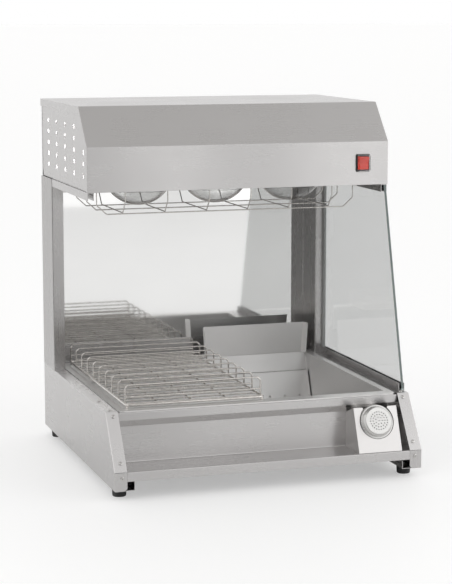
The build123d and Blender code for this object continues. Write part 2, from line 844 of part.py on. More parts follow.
def switch_rocker():
    """Rocker in its off position: two shallow wings on a pivot boss, tilted about its pin."""
    half_width = switch_body_width / 2 - switch_wall - gap
    sweep_radius = switch_body_height / 2 - switch_wall - gap
    tip = rocker_pin_depth + rocker_proud
    tip_height = (sweep_radius**2 - tip**2) ** 0.5
    root = rocker_pin + sheet
    root_height = (sweep_radius**2 - root**2) ** 0.5
    ends = [
        ThreePointArc((root, side * root_height), (0, side * sweep_radius), (-tip, side * tip_height))
        for side in (1, -1)
    ]
    face = Polyline((-tip, tip_height), (rocker_dip - tip, 0), (-tip, -tip_height))
    back = Line((root, root_height), (root, -root_height))
    profile = make_face(ends + [face, back])
    body = extrude(Plane.YZ * profile, amount=half_width, both=True)
    body = Pos(switch_x, rocker_axis_y(), hood_z + switch_z) * Rot(rocker_tilt, 0, 0) * body
    return body + rocker_pin_rod(rocker_pin, switch_wall - gap)


def switch_cover():
    """Clear splash cover on the bezel, over the rocker."""
    front = hood_setback - bezel
    half_width = switch_width / 2 - cover_wall
    half_height = switch_height / 2 - cover_wall
    cover = switch_block(half_width, half_height, (front - cover_depth, front))
    cover = chamfer(cover.faces().sort_by(Axis.Y)[0].edges(), 2 * cover_wall)
    inner = (front - cover_depth + cover_wall, front)
    hollow = switch_block(half_width - cover_wall, half_height - cover_wall, inner)
    return cover - chamfer(hollow.faces().sort_by(Axis.Y)[0].edges(), 2 * cover_wall)


# ---- Wiring ---------------------------------------------------------------------------------------
def block_ranges():
    """X, Y and Z limits of the terminal block, on top of the lamp trough."""
    low = tray_top + sheet
    return (
        (-block_length / 2, block_length / 2),
        (block_y - block_depth / 2, block_y + block_depth / 2),
        (low, low + block_height),
    )


def terminal_block():
    return block(*block_ranges())


def lamp_leads():
    """One lead from each lampholder, up through the trough's top and over to the terminal block."""
    x_range, y_range, z_range = block_ranges()
    run_z = z_range[0] + lead_radius + gap
    start_z = lamp_top + gap
    leads = []
    for x in lamp_places():
        rise = [(x, lamp_y, start_z), (x, lamp_y, run_z)]
        if x == 0:
            run = [(x, y_range[0], run_z)]
        else:
            run = [(x, block_y, run_z), (x_range[0] if x < 0 else x_range[1], block_y, run_z)]
        leads.append(bent_wire(rise + run, lead_radius))
    return leads


def switch_lead():
    """Lead from the back of the switch, up over the front of the trough, to the terminal block."""
    x_range, y_range, z_range = block_ranges()
    run_z = z_range[0] + lead_radius + gap
    run_y = block_y + block_depth / 4
    start_y = hood_setback + switch_body_depth
    rise_y = trough_ranges()[1][0] - 3 * lead_radius
    turn = 2 * lead_radius
    start_z = hood_z + switch_z
    return bent_wire(
        [
            (switch_x, start_y, start_z),
            (switch_x, rise_y, start_z),
            (switch_x, rise_y, run_z - turn),
            (switch_x, rise_y + turn, run_z),
            (switch_x, run_y, run_z),
            (x_range[1], run_y, run_z),
        ],
        lead_radius,
    )


# ---- Loose pieces ---------------------------------------------------------------------------------
def rack_loop(y):
    """Divider: an upside-down U across the rack, with a wire at half height."""
    left, right = rack_left + rack_loop_inset, rack_right - rack_loop_inset
    foot = deck_z + rack_stand
    top = deck_z + rack_loop_height
    corner = rack_loop_corner
    loop = bent_wire(
        [
            (left, y, foot),
            (left, y, top - corner),
            (left + corner, y, top),
            (right - corner, y, top),
            (right, y, top - corner),
            (right, y, foot),
        ],
        rack_wire,
    )
    middle = deck_z + rack_mid_height
    return loop + small_rod((left, y, middle), (right, y, middle), rack_wire)


def wire_rack():
    """Welded rack for filled cartons: a rod frame on short feet, floor wires and divider loops."""
    z = deck_z + rack_stand
    corners = [(rack_left, rack_front), (rack_right, rack_front)]
    corners += [(rack_right, rack_back), (rack_left, rack_back)]
    middle = ((rack_left + rack_right) / 2, rack_front, z)
    route = [middle] + [(x, y, z) for x, y in corners[1:] + corners[:1]] + [middle]
    rack = bent_wire(route[:5], rack_rod)
    rack += small_rod((rack_left, rack_front, z), middle, rack_rod)
    for x, y in corners:
        rack += small_rod((x, y, z), (x, y, deck_z + gap), rack_rod)
    for index in range(rack_loops):
        y = rack_back - index * rack_loop_pitch
        rack += rack_loop(y)
        rack += small_rod((rack_left, y, z), (rack_right, y, z), rack_wire)
        half_way = y - rack_loop_pitch / 2
        if half_way > rack_front:
            rack += small_rod((rack_left, half_way, z), (rack_right, half_way, z), rack_wire)
    for index in range(rack_runners):
        x = rack_left + (rack_right - rack_left) * (index + 1) / (rack_runners + 1)
        low = z - 2 * rack_wire + weld
        rack += small_rod((x, tank_front + rack_rod, low), (x, tank_back - rack_rod, low), rack_wire)
    return rack


def baffle_plan(spread):
    """Plan section of the baffle's wall and cheeks, widened by the spread on each side."""
    left, right = baffle_left - spread, baffle_right + spread
    path = Polyline(
        (left - cheek_outward, baffle_y - cheek_forward),
        (left, baffle_y),
        (right, baffle_y),
        (right + cheek_outward, baffle_y - cheek_forward),
    )
    return make_face(offset(path, sheet, kind=Kind.INTERSECTION, side=Side.LEFT).edges())


def bay_baffle():
    """Lift-out back stop of the open bay: a wall with splayed cheeks and a foot on the tank's rim."""
    low = deck_z + gap
    upper = Pos(0, 0, low + baffle_height) * baffle_plan(baffle_spread)
    wall = loft([Pos(0, 0, low) * baffle_plan(0), upper])
    cheek_front = baffle_y - cheek_forward
    top_corners = wall.edges().filter_by(
        lambda edge: edge.length < 2 * sheet
        and edge.center().Z > low + baffle_height - sheet
        and edge.center().Y < cheek_front + sheet
    )
    wall = fillet(top_corners, cheek_corner)
    foot_x_range = (baffle_left + baffle_foot_inset, baffle_right - baffle_foot_inset)
    return wall + block(foot_x_range, (baffle_y, baffle_y + baffle_foot), (low, low + sheet))


def holder_plane():
    """Plane of the holder's plate: x along the shelf, y up the plate, z out of its face."""
    tilt = radians(holder_tilt)
    return Plane(
        origin=(holder_x, holder_foot, shelf_z), x_dir=(1, 0, 0), z_dir=(0, -cos(tilt), sin(tilt))
    )


plate_length = holder_rise / cos(radians(holder_tilt))
hole_centre = plate_length - holder_hole_drop
shaker_centre = hole_centre - holder_hole + shaker_radius + gap


def shaker_holder():
    """Tilted plate with a broken round cut-out, side walls, and a cradle under the shaker."""
    tilt = radians(holder_tilt)
    plane = holder_plane()
    foot = sheet * tan(tilt)
    face = Pos(0, (foot + plate_length) / 2) * Rectangle(holder_width, plate_length - foot)
    face -= Pos(0, hole_centre) * Circle(holder_hole)
    lips = face.vertices().filter_by(
        lambda vertex: vertex.Y > plate_length - sheet and abs(vertex.X) < holder_hole
    )
    face = fillet(lips, holder_corner)
    holder = extrude(plane * face, amount=-sheet)
    top_y = holder_foot + holder_rise * tan(tilt)
    back = sheet / cos(tilt)
    side = [
        (holder_foot + back, shelf_z),
        (shelf_depth - bend, shelf_z),
        (shelf_depth, shelf_z + bend),
        (shelf_depth, shelf_z + holder_side_rise),
        (top_y + back, shelf_z + holder_rise),
    ]
    half = holder_width / 2
    holder += side_plate(side, holder_x - half, sheet)
    holder += side_plate(side, holder_x + half - sheet, sheet)
    cradle_top = hole_centre - holder_hole
    cradle = block((sheet - half, half - sheet), (cradle_top - sheet, cradle_top), (-shaker_back, -sheet))
    stop = block(
        (sheet - half, half - sheet),
        (cradle_top - sheet, cradle_top + cradle_stop),
        (-shaker_back - gap - sheet, -shaker_back - gap),
    )
    bridge = block(
        (sheet - half, half - sheet),
        (cradle_top - sheet, cradle_top),
        (-shaker_back - gap, -shaker_back),
    )
    return holder + plane.location * (cradle + stop + bridge)


def shaker_solid(levels):
    """A piece of the shaker through (radius, distance before the plate) levels along its axis."""
    return holder_plane().location * Pos(0, shaker_centre, 0) * stacked(levels)


def salt_shaker_body():
    """Open cup with a shoulder and a neck for the lid."""
    neck = lid_radius - lid_wall - gap
    mouth = neck - shaker_wall
    inner = shaker_radius - shaker_wall
    under_shoulder = shaker_shoulder - shaker_wall
    top = shaker_shoulder + neck_height
    body = shaker_solid([(shaker_radius, -shaker_back), (shaker_radius, shaker_shoulder)])
    body += shaker_solid([(neck, shaker_shoulder), (neck, top)])
    body -= shaker_solid([(inner, shaker_wall - shaker_back), (inner, under_shoulder)])
    return body - shaker_solid([(mouth, under_shoulder), (mouth, top)])


def salt_shaker_lid():
    """Stepped lid over the neck."""
    low = shaker_shoulder + gap
    top = low + lid_height
    inner = lid_radius - lid_wall
    shoulder = top - 2 * lid_step
    lid = shaker_solid([
        (lid_radius, low),
        (lid_radius, shoulder),
        (lid_radius - lid_step, shoulder + lid_step),
        (lid_radius - 2 * lid_step, top),
    ])
    ceiling = top - lid_wall
    return lid - shaker_solid([(inner, low), (inner, shoulder), (inner - ceiling + shoulder, ceiling)])


# ---- Feet -----------------------------------------------------------------------------------------
def foot_places():
    return [(x, y) for x in (-foot_x, foot_x) for y in (foot_front, foot_back)]


def foot(x, y):
    """Rubber foot with a recess for the bolt's head."""
    top = Plane(origin=(x, y, foot_height)) * RegularPolygon(foot_radius, round_sides)
    block_solid = extrude(top, amount=-foot_height, taper=foot_taper)
    block_solid -= small_rod((x, y, 0), (x, y, foot_recess_depth), foot_recess)
    return block_solid - small_rod((x, y, 0), (x, y, foot_height), bolt_radius + pin_clearance)


def foot_bolt(x, y):
    """Hexagon bolt up through a foot and the bottom flange, with its nut."""
    head_plane = Plane(origin=(x, y, foot_recess_depth))
    head = extrude(head_plane * RegularPolygon(bolt_head, 6), amount=-bolt_head_height)
    nut_z = foot_height + sheet
    nut = extrude(Plane(origin=(x, y, nut_z)) * RegularPolygon(bolt_head, 6), amount=nut_height)
    shank = small_rod((x, y, foot_recess_depth), (x, y, nut_z + nut_height + sheet), bolt_radius)
    return head + shank + nut


# ---- Writing the pieces -----------------------------------------------------------------------------
def save(name, pieces):
    """Writes one node, one solid or a group of separate ones, with the origin under its middle."""
    group = pieces if isinstance(pieces, list) else [pieces]
    solids = [solid for piece in group for solid in piece.solids()]
    placed = [Pos(0, -middle_y, 0) * solid for solid in solids]
    shape = placed[0] if len(placed) == 1 else Compound(children=placed)
    export_step(shape, f"parts/{name}.step")


def mirrored(piece):
    return mirror(piece, about=Plane.YZ)


def front_screws():
    return [side for plane in front_screw_planes() for side in both_sides(screw(plane))]


def deck_screws():
    left = [mirrored(screw(plane)) for plane in deck_screw_planes(deck_screw_places)]
    return left + [screw(plane) for plane in deck_screw_planes(deck_screw_places[:1])]


def post_screws():
    left = screw(post_screw_plane(left_post_width, left_post_front))
    return [left, mirrored(screw(post_screw_plane(right_post_width, right_post_front)))]


os.makedirs("parts", exist_ok=True)
save("left_side_panel", mirrored(side_panel(deck_screw_places)))
save("right_side_panel", side_panel(deck_screw_places[:1]))
save("base_back_panel", base_back_panel())
save("front_rail", front_rail())
save("front_shelf", front_shelf())
save("well_tank", tank())
save("false_bottom", false_bottom())
save("rear_upstand", rear_upstand())
save("left_post", post(left_post_width, left_post_front))
save("right_post", mirrored(post(right_post_width, right_post_front)))
save("post_brackets", [
    post_bracket(left_post_width, left_post_front),
    mirrored(post_bracket(right_post_width, right_post_front)),
])
save("mirror_panel", mirror_panel())
save("left_top_rail", mirrored(top_rail(left_post_front)))
save("right_top_rail", top_rail(right_post_front))
save("glass_channel", glass_channel())
save("side_glass", side_glass())
save("glass_rear_seal", glass_rear_seal())
save("hood_cover", hood_cover())
save("hood_left_side", mirrored(hood_side()))
save("hood_right_side", hood_side())
save("hood_back_panel", hood_back_panel())
save("cable_gland", cable_gland())
save("lamp_tray", lamp_tray())
save("lampholders", [lampholder(x) for x in lamp_places()])
save("reflector_lamps", [lamp(x) for x in lamp_places()])
save("lamp_caps", [lamp_cap(x) for x in lamp_places()])
save("lamp_guard", lamp_guard())
save("guard_clips", guard_clips())
save("switch_frame", switch_frame())
save("switch_rocker", switch_rocker())
save("switch_cover", switch_cover())
save("terminal_block", terminal_block())
save("lamp_leads", lamp_leads())
save("switch_lead", switch_lead())
save("wire_rack", wire_rack())
save("bay_baffle", bay_baffle())
save("shaker_holder", shaker_holder())
save("salt_shaker_body", salt_shaker_body())
save("salt_shaker_lid", salt_shaker_lid())
save("feet", [foot(x, y) for x, y in foot_places()])
save("foot_bolts", [foot_bolt(x, y) for x, y in foot_places()])
save("front_flange_screws", front_screws())
save("deck_flange_screws", deck_screws())
save("post_screws", post_screws())
save("hood_screws", [screw(plane) for plane in hood_screw_planes()])
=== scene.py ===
import bpy
import bmesh
from contextlib import contextmanager
from math import atan2, cos, pi, radians, sin, tan
from mathutils import Matrix, Vector


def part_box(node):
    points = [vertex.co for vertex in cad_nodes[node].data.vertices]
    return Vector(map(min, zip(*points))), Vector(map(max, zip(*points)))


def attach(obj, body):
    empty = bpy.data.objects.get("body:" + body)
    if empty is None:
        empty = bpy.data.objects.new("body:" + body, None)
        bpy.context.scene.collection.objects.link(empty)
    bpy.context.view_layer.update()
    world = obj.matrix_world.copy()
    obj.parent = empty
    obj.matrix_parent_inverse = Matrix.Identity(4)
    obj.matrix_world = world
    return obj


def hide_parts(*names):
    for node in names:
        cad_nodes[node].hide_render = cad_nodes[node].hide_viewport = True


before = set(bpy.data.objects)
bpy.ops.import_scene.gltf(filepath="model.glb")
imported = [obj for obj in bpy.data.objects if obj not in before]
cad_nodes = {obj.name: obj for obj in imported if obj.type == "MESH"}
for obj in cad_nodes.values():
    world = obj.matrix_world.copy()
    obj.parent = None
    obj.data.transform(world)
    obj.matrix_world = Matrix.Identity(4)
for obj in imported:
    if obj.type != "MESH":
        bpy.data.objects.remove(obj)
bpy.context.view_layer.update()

# ---- Studio ---------------------------------------------------------------------------------------
# The warmer stands on a pale seamless floor in a bright soft room. The steel mirrors that room:
# white walls, a greyer ceiling, and an unlit part behind the camera. Two large soft lamps shade the
# folds, and two upright boxes in front of the warmer brighten what its front mirrors.
floor_half = 120.0
floor_color = (0.95, 0.95, 0.948, 1)
floor_seen = (0.62, 0.62, 0.619, 1)      # to the eye it is darker and glows, for weak shadows
floor_glow = 0.42
wall_light = 1.0
ceiling_light = 0.60
ceiling_start = 0.70     # as the sine of the height above the horizon
ceiling_full = 0.95
dim_light = 0.24         # share of the light left in the unlit part of the room, behind the camera
dim_left = (-0.95, -0.70)        # its soft sides, as bearings from the front
dim_right = (0.19, 0.07)
dim_top = (0.75, 0.50)
dim_floor_side = (0.10, -0.03)   # where it lies on the floor, which only reflections show
dim_floor_start = (-0.60, -0.95)
dim_color = (0.13, 0.128, 0.125, 1)
camera_place = (-1.19278, -3.7246, 0.94833)
camera_pitch = radians(90 - 8.648)
camera_turn = radians(-17.818)
camera_lens = 114.24     # millimetres, over a long side of 36


def add_node(tree, kind, inputs=(), **settings):
    """A node in a tree. Inputs, by socket name or number, are values or other nodes' outputs."""
    node = tree.nodes.new(kind)
    for name, value in settings.items():
        setattr(node, name, value)
    for key, value in dict(inputs).items():
        if isinstance(value, bpy.types.NodeSocket):
            tree.links.new(value, node.inputs[key])
        else:
            node.inputs[key].default_value = value
    return node


def new_material(name, **constants):
    """A material with one Principled shader, whose constant values are set on its own sockets."""
    material = bpy.data.materials.new(name)
    material.use_nodes = True
    tree = material.node_tree
    tree.nodes.clear()
    shader = tree.nodes.new("ShaderNodeBsdfPrincipled")
    for socket, value in constants.items():
        shader.inputs[socket.replace("_", " ")].default_value = value
    add_node(tree, "ShaderNodeOutputMaterial", {"Surface": shader.outputs[0]})
    return material, tree, shader


def feed(tree, node, **values):
    """Links values to a node's sockets, by the sockets' names."""
    for socket, value in values.items():
        tree.links.new(value, node.inputs[socket.replace("_", " ")])


def read(tree, kind, output):
    """What an input node tells of the point being shaded."""
    return add_node(tree, "ShaderNode" + kind).outputs[output]


def compute(tree, operation, *values):
    """The result of a math node."""
    return add_node(tree, "ShaderNodeMath", dict(enumerate(values)), operation=operation).outputs[0]


def carried(tree, value, start, end, to_start=0.0, to_end=1.0, **settings):
    """A value carried from one range to another."""
    return add_node(tree, "ShaderNodeMapRange", {
        "Value": value, "From Min": start, "From Max": end, "To Min": to_start, "To Max": to_end,
    }, **settings).outputs[0]


def noise(tree, scale, detail, place=None):
    """Cloudy noise, on the piece's own coordinates unless a place is given."""
    if place is None:
        place = read(tree, "TexCoord", "Object")
    return add_node(tree, "ShaderNodeTexNoise",
                    {"Vector": place, "Scale": scale, "Detail": detail}).outputs["Fac"]


def blend(tree, share, first, second, **settings):
    """One colour over another, by a share."""
    return add_node(tree, "ShaderNodeMix", {0: share, 6: first, 7: second}, data_type="RGBA",
                    **settings).outputs[2]


def ramp(tree, value, low, high, low_color, high_color):
    """A colour that runs from one to another as a value goes from low to high."""
    node = add_node(tree, "ShaderNodeValToRGB", {"Fac": value})
    stops = ((low, low_color), (high, high_color))
    for element, stop in zip(node.color_ramp.elements, stops):
        element.position, element.color = stop
    return node.outputs["Color"]


def link_object(name, mesh):
    """A new object for a mesh, in the scene and at the origin."""
    piece = bpy.data.objects.new(name, mesh)
    bpy.context.scene.collection.objects.link(piece)
    return piece


def soft_mask(tree, edges):
    """1 where every (value, from, to) has passed from one bound to the other, with soft sides."""
    mask = 1.0
    for value, start, end in edges:
        step = carried(tree, value, min(start, end), max(start, end), float(start > end),
                       float(start < end), interpolation_type="SMOOTHSTEP")
        mask = compute(tree, "MULTIPLY", mask, step)
    return mask


corners = [(floor_half * x, floor_half * y, 0) for x, y in ((-1, -1), (1, -1), (1, 1), (-1, 1))]
floor_mesh = bpy.data.meshes.new("floor")
floor_mesh.from_pydata(corners, [], [(0, 1, 2, 3)])
floor = link_object("floor", floor_mesh)
floor_paint, tree, shader = new_material("floor_paint", Roughness=0.6, Emission_Color=floor_color)
place = read(tree, "TexCoord", "Object")
spot = add_node(tree, "ShaderNodeSeparateXYZ", {0: place})
unlit = soft_mask(tree, [(spot.outputs["X"], *dim_floor_side),
                         (spot.outputs["Y"], *dim_floor_start)])
seen = read(tree, "LightPath", "Is Camera Ray")
darker = tuple(0.985 * value for value in floor_color[:3]) + (1,)
paint = ramp(tree, noise(tree, 3.0, 2.0, place), 0.3, 0.7, darker, floor_color)
paint = blend(tree, seen, blend(tree, unlit, paint, dim_color), floor_seen)
feed(tree, shader, Base_Color=paint, Emission_Strength=compute(tree, "MULTIPLY", seen, floor_glow))
floor_mesh.materials.append(floor_paint)

room = bpy.data.worlds.new("bright_room")
bpy.context.scene.world = room
room.use_nodes = True
tree = room.node_tree
tree.nodes.clear()
part = add_node(tree, "ShaderNodeSeparateXYZ", {0: read(tree, "TexCoord", "Generated")})
forward = compute(tree, "MULTIPLY", part.outputs["Y"], -1.0)
bearing = compute(tree, "ARCTAN2", part.outputs["X"], forward)
unlit = soft_mask(tree, [(bearing, *dim_left), (bearing, *dim_right),
                         (part.outputs["Z"], *dim_top)])
seen = read(tree, "LightPath", "Is Camera Ray")
strength = compute(tree, "MAXIMUM", carried(tree, unlit, 0.0, 1.0, 1.0, dim_light), seen)
room_color = ramp(tree, part.outputs["Z"], ceiling_start, ceiling_full,
                  (wall_light, wall_light, wall_light, 1),
                  (ceiling_light, 0.985 * ceiling_light, 0.965 * ceiling_light, 1))
glow = add_node(tree, "ShaderNodeBackground", {"Color": room_color, "Strength": strength})
add_node(tree, "ShaderNodeOutputWorld", {"Surface": glow.outputs[0]})


def area_light(name, place, turn, size, power, hidden=False):
    """A soft box that the camera doesn't see. A hidden one doesn't show through glass either."""
    data = bpy.data.lights.new(name, "AREA")
    data.shape = "RECTANGLE"
    data.size, data.size_y = size
    data.energy = power
    lamp = bpy.data.objects.new(name, data)
    lamp.location = place
    lamp.rotation_euler = turn
    lamp.visible_camera = False
    lamp.visible_transmission = not hidden
    bpy.context.scene.collection.objects.link(lamp)


def aimed(place, target):
    """The turn of a light that looks from a place to a target."""
    return (Vector(target) - Vector(place)).to_track_quat("-Z", "Y").to_euler()


for name, place, target, side, power in (("key_light", (-2.6, -2.4, 2.6), (0, 0, 0.35), 2.6, 18.0),
                                         ("fill_light", (2.8, -2.0, 1.8), (0, 0, 0.3), 2.2, 11.0)):
    area_light(name, place, aimed(place, target), (side, side), power)
for name, place, size, power in (("left_strip", (0.13, -1.1, 0.57), (0.20, 0.42), 0.075),
                                 ("right_strip", (0.70, -1.1, 0.57), (0.42, 0.42), 0.21)):
    area_light(name, place, (pi / 2, 0, 0), size, power, hidden=True)

camera_data = bpy.data.cameras.new("camera")
camera_data.lens = camera_lens
camera = bpy.data.objects.new("camera", camera_data)
camera.location = camera_place
camera.rotation_euler = (camera_pitch, 0, camera_turn)
bpy.context.scene.collection.objects.link(camera)
bpy.context.scene.camera = camera
bpy.context.scene.view_settings.view_transform = "Standard"

# ---- Feet -----------------------------------------------------------------------------------------
# Four tapered rubber feet, each moulded with a recess for the hexagon bolt that holds it to the
# base's bottom flange.
foot_radius = 0.015
foot_taper = 0.0013      # how much narrower the sole is
foot_round = 0.0012
recess_radius = 0.0085
recess_depth = 0.008
bolt_hole_radius = 0.0031
rubber_color = (0.022, 0.022, 0.023, 1)
turned_sides = 48


@contextmanager
def edited(mesh):
    """A mesh as a bmesh, written back when the block ends."""
    shape = bmesh.new()
    shape.from_mesh(mesh)
    yield shape
    shape.to_mesh(mesh)
    shape.free()


def mesh_from(name, vertices, faces):
    """A mesh from corners and faces, its doubles merged and its faces pointing outwards."""
    mesh = bpy.data.meshes.new(name)
    mesh.from_pydata([tuple(v) for v in vertices], [], faces)
    with edited(mesh) as shape:
        bmesh.ops.remove_doubles(shape, verts=shape.verts, dist=1e-6)
        bmesh.ops.recalc_face_normals(shape, faces=shape.faces)
    return mesh


def ring_faces(rings, count):
    """Faces between rings of corners that follow one another."""
    faces = []
    for ring in range(rings - 1):
        for index in range(count):
            a, b = ring * count + index, ring * count + (index + 1) % count
            faces.append((a, b, b + count, a + count))
    return faces


def turned_mesh(name, profile, place, sides=turned_sides, flutes=0, flute_depth=0.0):
    """A piece turned from (radius, height) points, plain or fluted, in its place."""
    vertices = []
    for radius, height in profile:
        for index in range(sides):
            angle = 2 * pi * index / sides
            reach = radius * (1 + flute_depth * cos(flutes * angle))
            vertices.append(place @ Vector((reach * cos(angle), reach * sin(angle), height)))
    return mesh_from(name, vertices, ring_faces(len(profile), sides))


def shade(mesh, smooth_angle=radians(35)):
    """Smooth shading, with the edges sharper than an angle kept sharp."""
    mesh.polygons.foreach_set("use_smooth", [True] * len(mesh.polygons))
    mesh.set_sharp_from_angle(angle=smooth_angle)
    return mesh


def joined(name, meshes):
    """One mesh from several."""
    result = bpy.data.meshes.new(name)
    with edited(result) as shape:
        for mesh in meshes:
            shape.from_mesh(mesh)
    return result


def dress(name, mesh, material, body, slot, *replaced):
    """Makes a piece of a mesh, with its material and body, and hides the nodes it replaces. The slot
    is not used.
    """
    mesh.materials.clear()
    mesh.materials.append(material)
    piece = link_object(name, mesh)
    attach(piece, body)
    if replaced:
        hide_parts(*replaced)


def node_group(name, kind, inputs, outputs):
    """An empty group or tree with named sockets, with its given values and its output node."""
    group = bpy.data.node_groups.new(name, kind)
    for in_out, sockets in (("INPUT", inputs), ("OUTPUT", outputs)):
        for label, value in sockets.items():
            group.interface.new_socket(name=label, in_out=in_out,
                                       socket_type="NodeSocket" + value)
    return group, group.nodes.new("NodeGroupInput").outputs, group.nodes.new("NodeGroupOutput")


# Handling dust: a cloudy mask, stronger on faces that look up.
dust_group, given, result = node_group(
    "settled_dust", "ShaderNodeTree", {"Scale": "Float", "Amount": "Float"}, {"Mask": "Float"})
normal = read(dust_group, "NewGeometry", "Normal")
facing = add_node(dust_group, "ShaderNodeSeparateXYZ", {0: normal})
upward = carried(dust_group, facing.outputs["Z"], -0.2, 1.0, 0.35)
patch = carried(dust_group, noise(dust_group, given["Scale"], 4.0), 0.42, 0.72)
layer = compute(dust_group, "MULTIPLY", patch, upward)
feed(dust_group, result, Mask=compute(dust_group, "MULTIPLY", layer, given["Amount"]))


def dusty_material(name, color, dust_color, roughness, dust_scale, dust_amount, **constants):
    """A moulded or rubber finish: one colour, a little settled dust and a fine pebbled surface."""
    material, tree, shader = new_material(name, Roughness=roughness, **constants)
    dust = add_node(tree, "ShaderNodeGroup", {"Scale": dust_scale, "Amount": dust_amount},
                    node_tree=dust_group)
    pebbles = add_node(tree, "ShaderNodeBump", {"Height": noise(tree, 2500.0, 2.0),
                                                "Strength": 0.25, "Distance": 0.0002})
    feed(tree, shader, Base_Color=ramp(tree, dust.outputs["Mask"], 0, 1, color, dust_color),
         Normal=pebbles.outputs[0])
    return material


rubber = dusty_material("moulded_rubber", rubber_color, (0.09, 0.088, 0.085, 1), 0.62, 60.0, 0.8)
low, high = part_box("feet")
foot_height = high.z - low.z
foot_profile = [
    (bolt_hole_radius, foot_height),
    (foot_radius - foot_round, foot_height),
    (foot_radius, foot_height - foot_round),
    (foot_radius - foot_taper, foot_round),
    (foot_radius - foot_taper - foot_round, 0),
    (recess_radius, 0),
    (recess_radius, recess_depth),
    (bolt_hole_radius, recess_depth),
    (bolt_hole_radius, foot_height),
]
foot_places = [
    (x, y) for x in (low.x + foot_radius, high.x - foot_radius)
    for y in (low.y + foot_radius, high.y - foot_radius)
]
feet = joined("rubber_feet", [
    turned_mesh("foot", foot_profile, Matrix.Translation((x, y, 0))) for x, y in foot_places
])
dress("rubber_feet", shade(feet), rubber, "cabinet", "black_rubber", "feet")

# ---- Base shell -----------------------------------------------------------------------------------
# Two side panels folded all round from 1.2 mm brushed stainless sheet, a plain back panel, and the
# front rail and shelf between them. The grain runs along each sheet's length. Zinc-plated bolts and
# nuts hold the feet to the bottom flanges.
steel_color = (0.606, 0.594, 0.590, 1)
steel_dark = (0.556, 0.545, 0.541, 1)
streak_length = 0.16
streak_width = 0.0006
band_width = 0.018
edge_reach = 0.0007
sheet_roughness = 0.25
streak_depth = 0.0000002
grain_pull = 0.8         # how much more the sheet blurs its mirror image across the grain
# painted highlight: the colour that the steel takes along its edges
painted_edge_highlight = (0.76, 0.755, 0.745, 1)

# Rounded edges: a normal softened at the sheet's edges, and a mask of where they are, for a painted
# highlight.
edge_group, given, result = node_group(
    "softened_edge", "ShaderNodeTree", {"Reach": "Float"}, {"Normal": "Vector", "Mask": "Float"})


def dot(tree, first, second):
    """The dot product of two vectors."""
    return add_node(tree, "ShaderNodeVectorMath", {0: first, 1: second},
                    operation="DOT_PRODUCT").outputs["Value"]


bevel = add_node(edge_group, "ShaderNodeBevel", {"Radius": given["Reach"]}, samples=4)
soft = bevel.outputs[0]
likeness = dot(edge_group, soft, read(edge_group, "NewGeometry", "Normal"))
feed(edge_group, result, Normal=soft, Mask=carried(edge_group, likeness, 0.995, 0.80))


def grain_line(tree, along, turned):
    """The direction of the grain: along, or turned on the faces that look that way."""
    facing = dot(tree, read(tree, "NewGeometry", "True Normal"), along)
    end_on = compute(tree, "GREATER_THAN", compute(tree, "ABSOLUTE", facing), 0.7)
    return add_node(tree, "ShaderNodeMix", {0: end_on, 4: along, 5: turned},
                    data_type="VECTOR").outputs[1]


# Brushed grain: fine streaks, broader bands and cloudy wipe marks along the sheet.
grain_group, given, result = node_group(
    "brushed_grain", "ShaderNodeTree",
    {"Along": "Vector", "Turned": "Vector", "Contrast": "Float", "Depth": "Float",
     "Normal": "Vector", "Roughness": "Float"},
    {"Tone": "Float", "Roughness": "Float", "Normal": "Vector"})
place = read(grain_group, "TexCoord", "Object")
run = grain_line(grain_group, given["Along"], given["Turned"])
drawn = compute(grain_group, "MULTIPLY", dot(grain_group, place, run),
                streak_width / streak_length - 1)
pull = add_node(grain_group, "ShaderNodeVectorMath", {0: run, "Scale": drawn}, operation="SCALE")
stretched = add_node(grain_group, "ShaderNodeVectorMath", {0: place, 1: pull.outputs[0]},
                     operation="ADD").outputs[0]
fine = noise(grain_group, 1 / streak_width, 3.0, stretched)
broad = noise(grain_group, 1 / band_width, 2.0, stretched)
centred = compute(grain_group, "ADD", compute(grain_group, "ADD", fine, broad), -1.0)
weighted = compute(grain_group, "MULTIPLY", centred, given["Contrast"])
wiped = carried(grain_group, noise(grain_group, 9.0, 3.0, place), 0.3, 0.7, 0.0, 0.06)
uneven = compute(grain_group, "ADD", wiped, given["Roughness"])
scratch = add_node(grain_group, "ShaderNodeBump",
                   {"Height": fine, "Distance": given["Depth"], "Strength": 1.0,
                    "Normal": given["Normal"]})
feed(grain_group, result, Tone=compute(grain_group, "ADD", weighted, 0.5),
     Roughness=compute(grain_group, "ADD", weighted, uneven), Normal=scratch.outputs[0])


def brushed_steel(name, grain_axis, light=steel_color, dark=steel_dark, contrast=0.05, duller=0.0):
    """Brushed stainless whose grain runs along the X (0), Y (1) or Z (2) axis."""
    material, tree, shader = new_material(name, Metallic=1.0, Anisotropic=grain_pull,
                                          Anisotropic_Rotation=0.25)
    along = [float(axis == grain_axis) for axis in range(3)]
    turned = [float(axis == (grain_axis + 1) % 3) for axis in range(3)]
    edge = add_node(tree, "ShaderNodeGroup", {"Reach": edge_reach}, node_tree=edge_group)
    grain = add_node(tree, "ShaderNodeGroup", {
        "Along": along, "Turned": turned, "Contrast": contrast, "Depth": streak_depth,
        "Normal": edge.outputs["Normal"], "Roughness": sheet_roughness + duller,
    }, node_tree=grain_group)
    tone = ramp(tree, grain.outputs["Tone"], 0.2, 0.8, dark, light)
    # The edge mask blends a painted highlight into the steel's colour along the sheet's edges.
    feed(tree, shader, Tangent=grain_line(tree, along, turned), Normal=grain.outputs["Normal"],
         Base_Color=blend(tree, edge.outputs["Mask"], tone, painted_edge_highlight),
         Roughness=grain.outputs["Roughness"])
    return material


def finish(material, *names):
    """Gives CAD nodes their finish."""
    for name in names:
        mesh = cad_nodes[name].data
        mesh.materials.clear()
        mesh.materials.append(material)


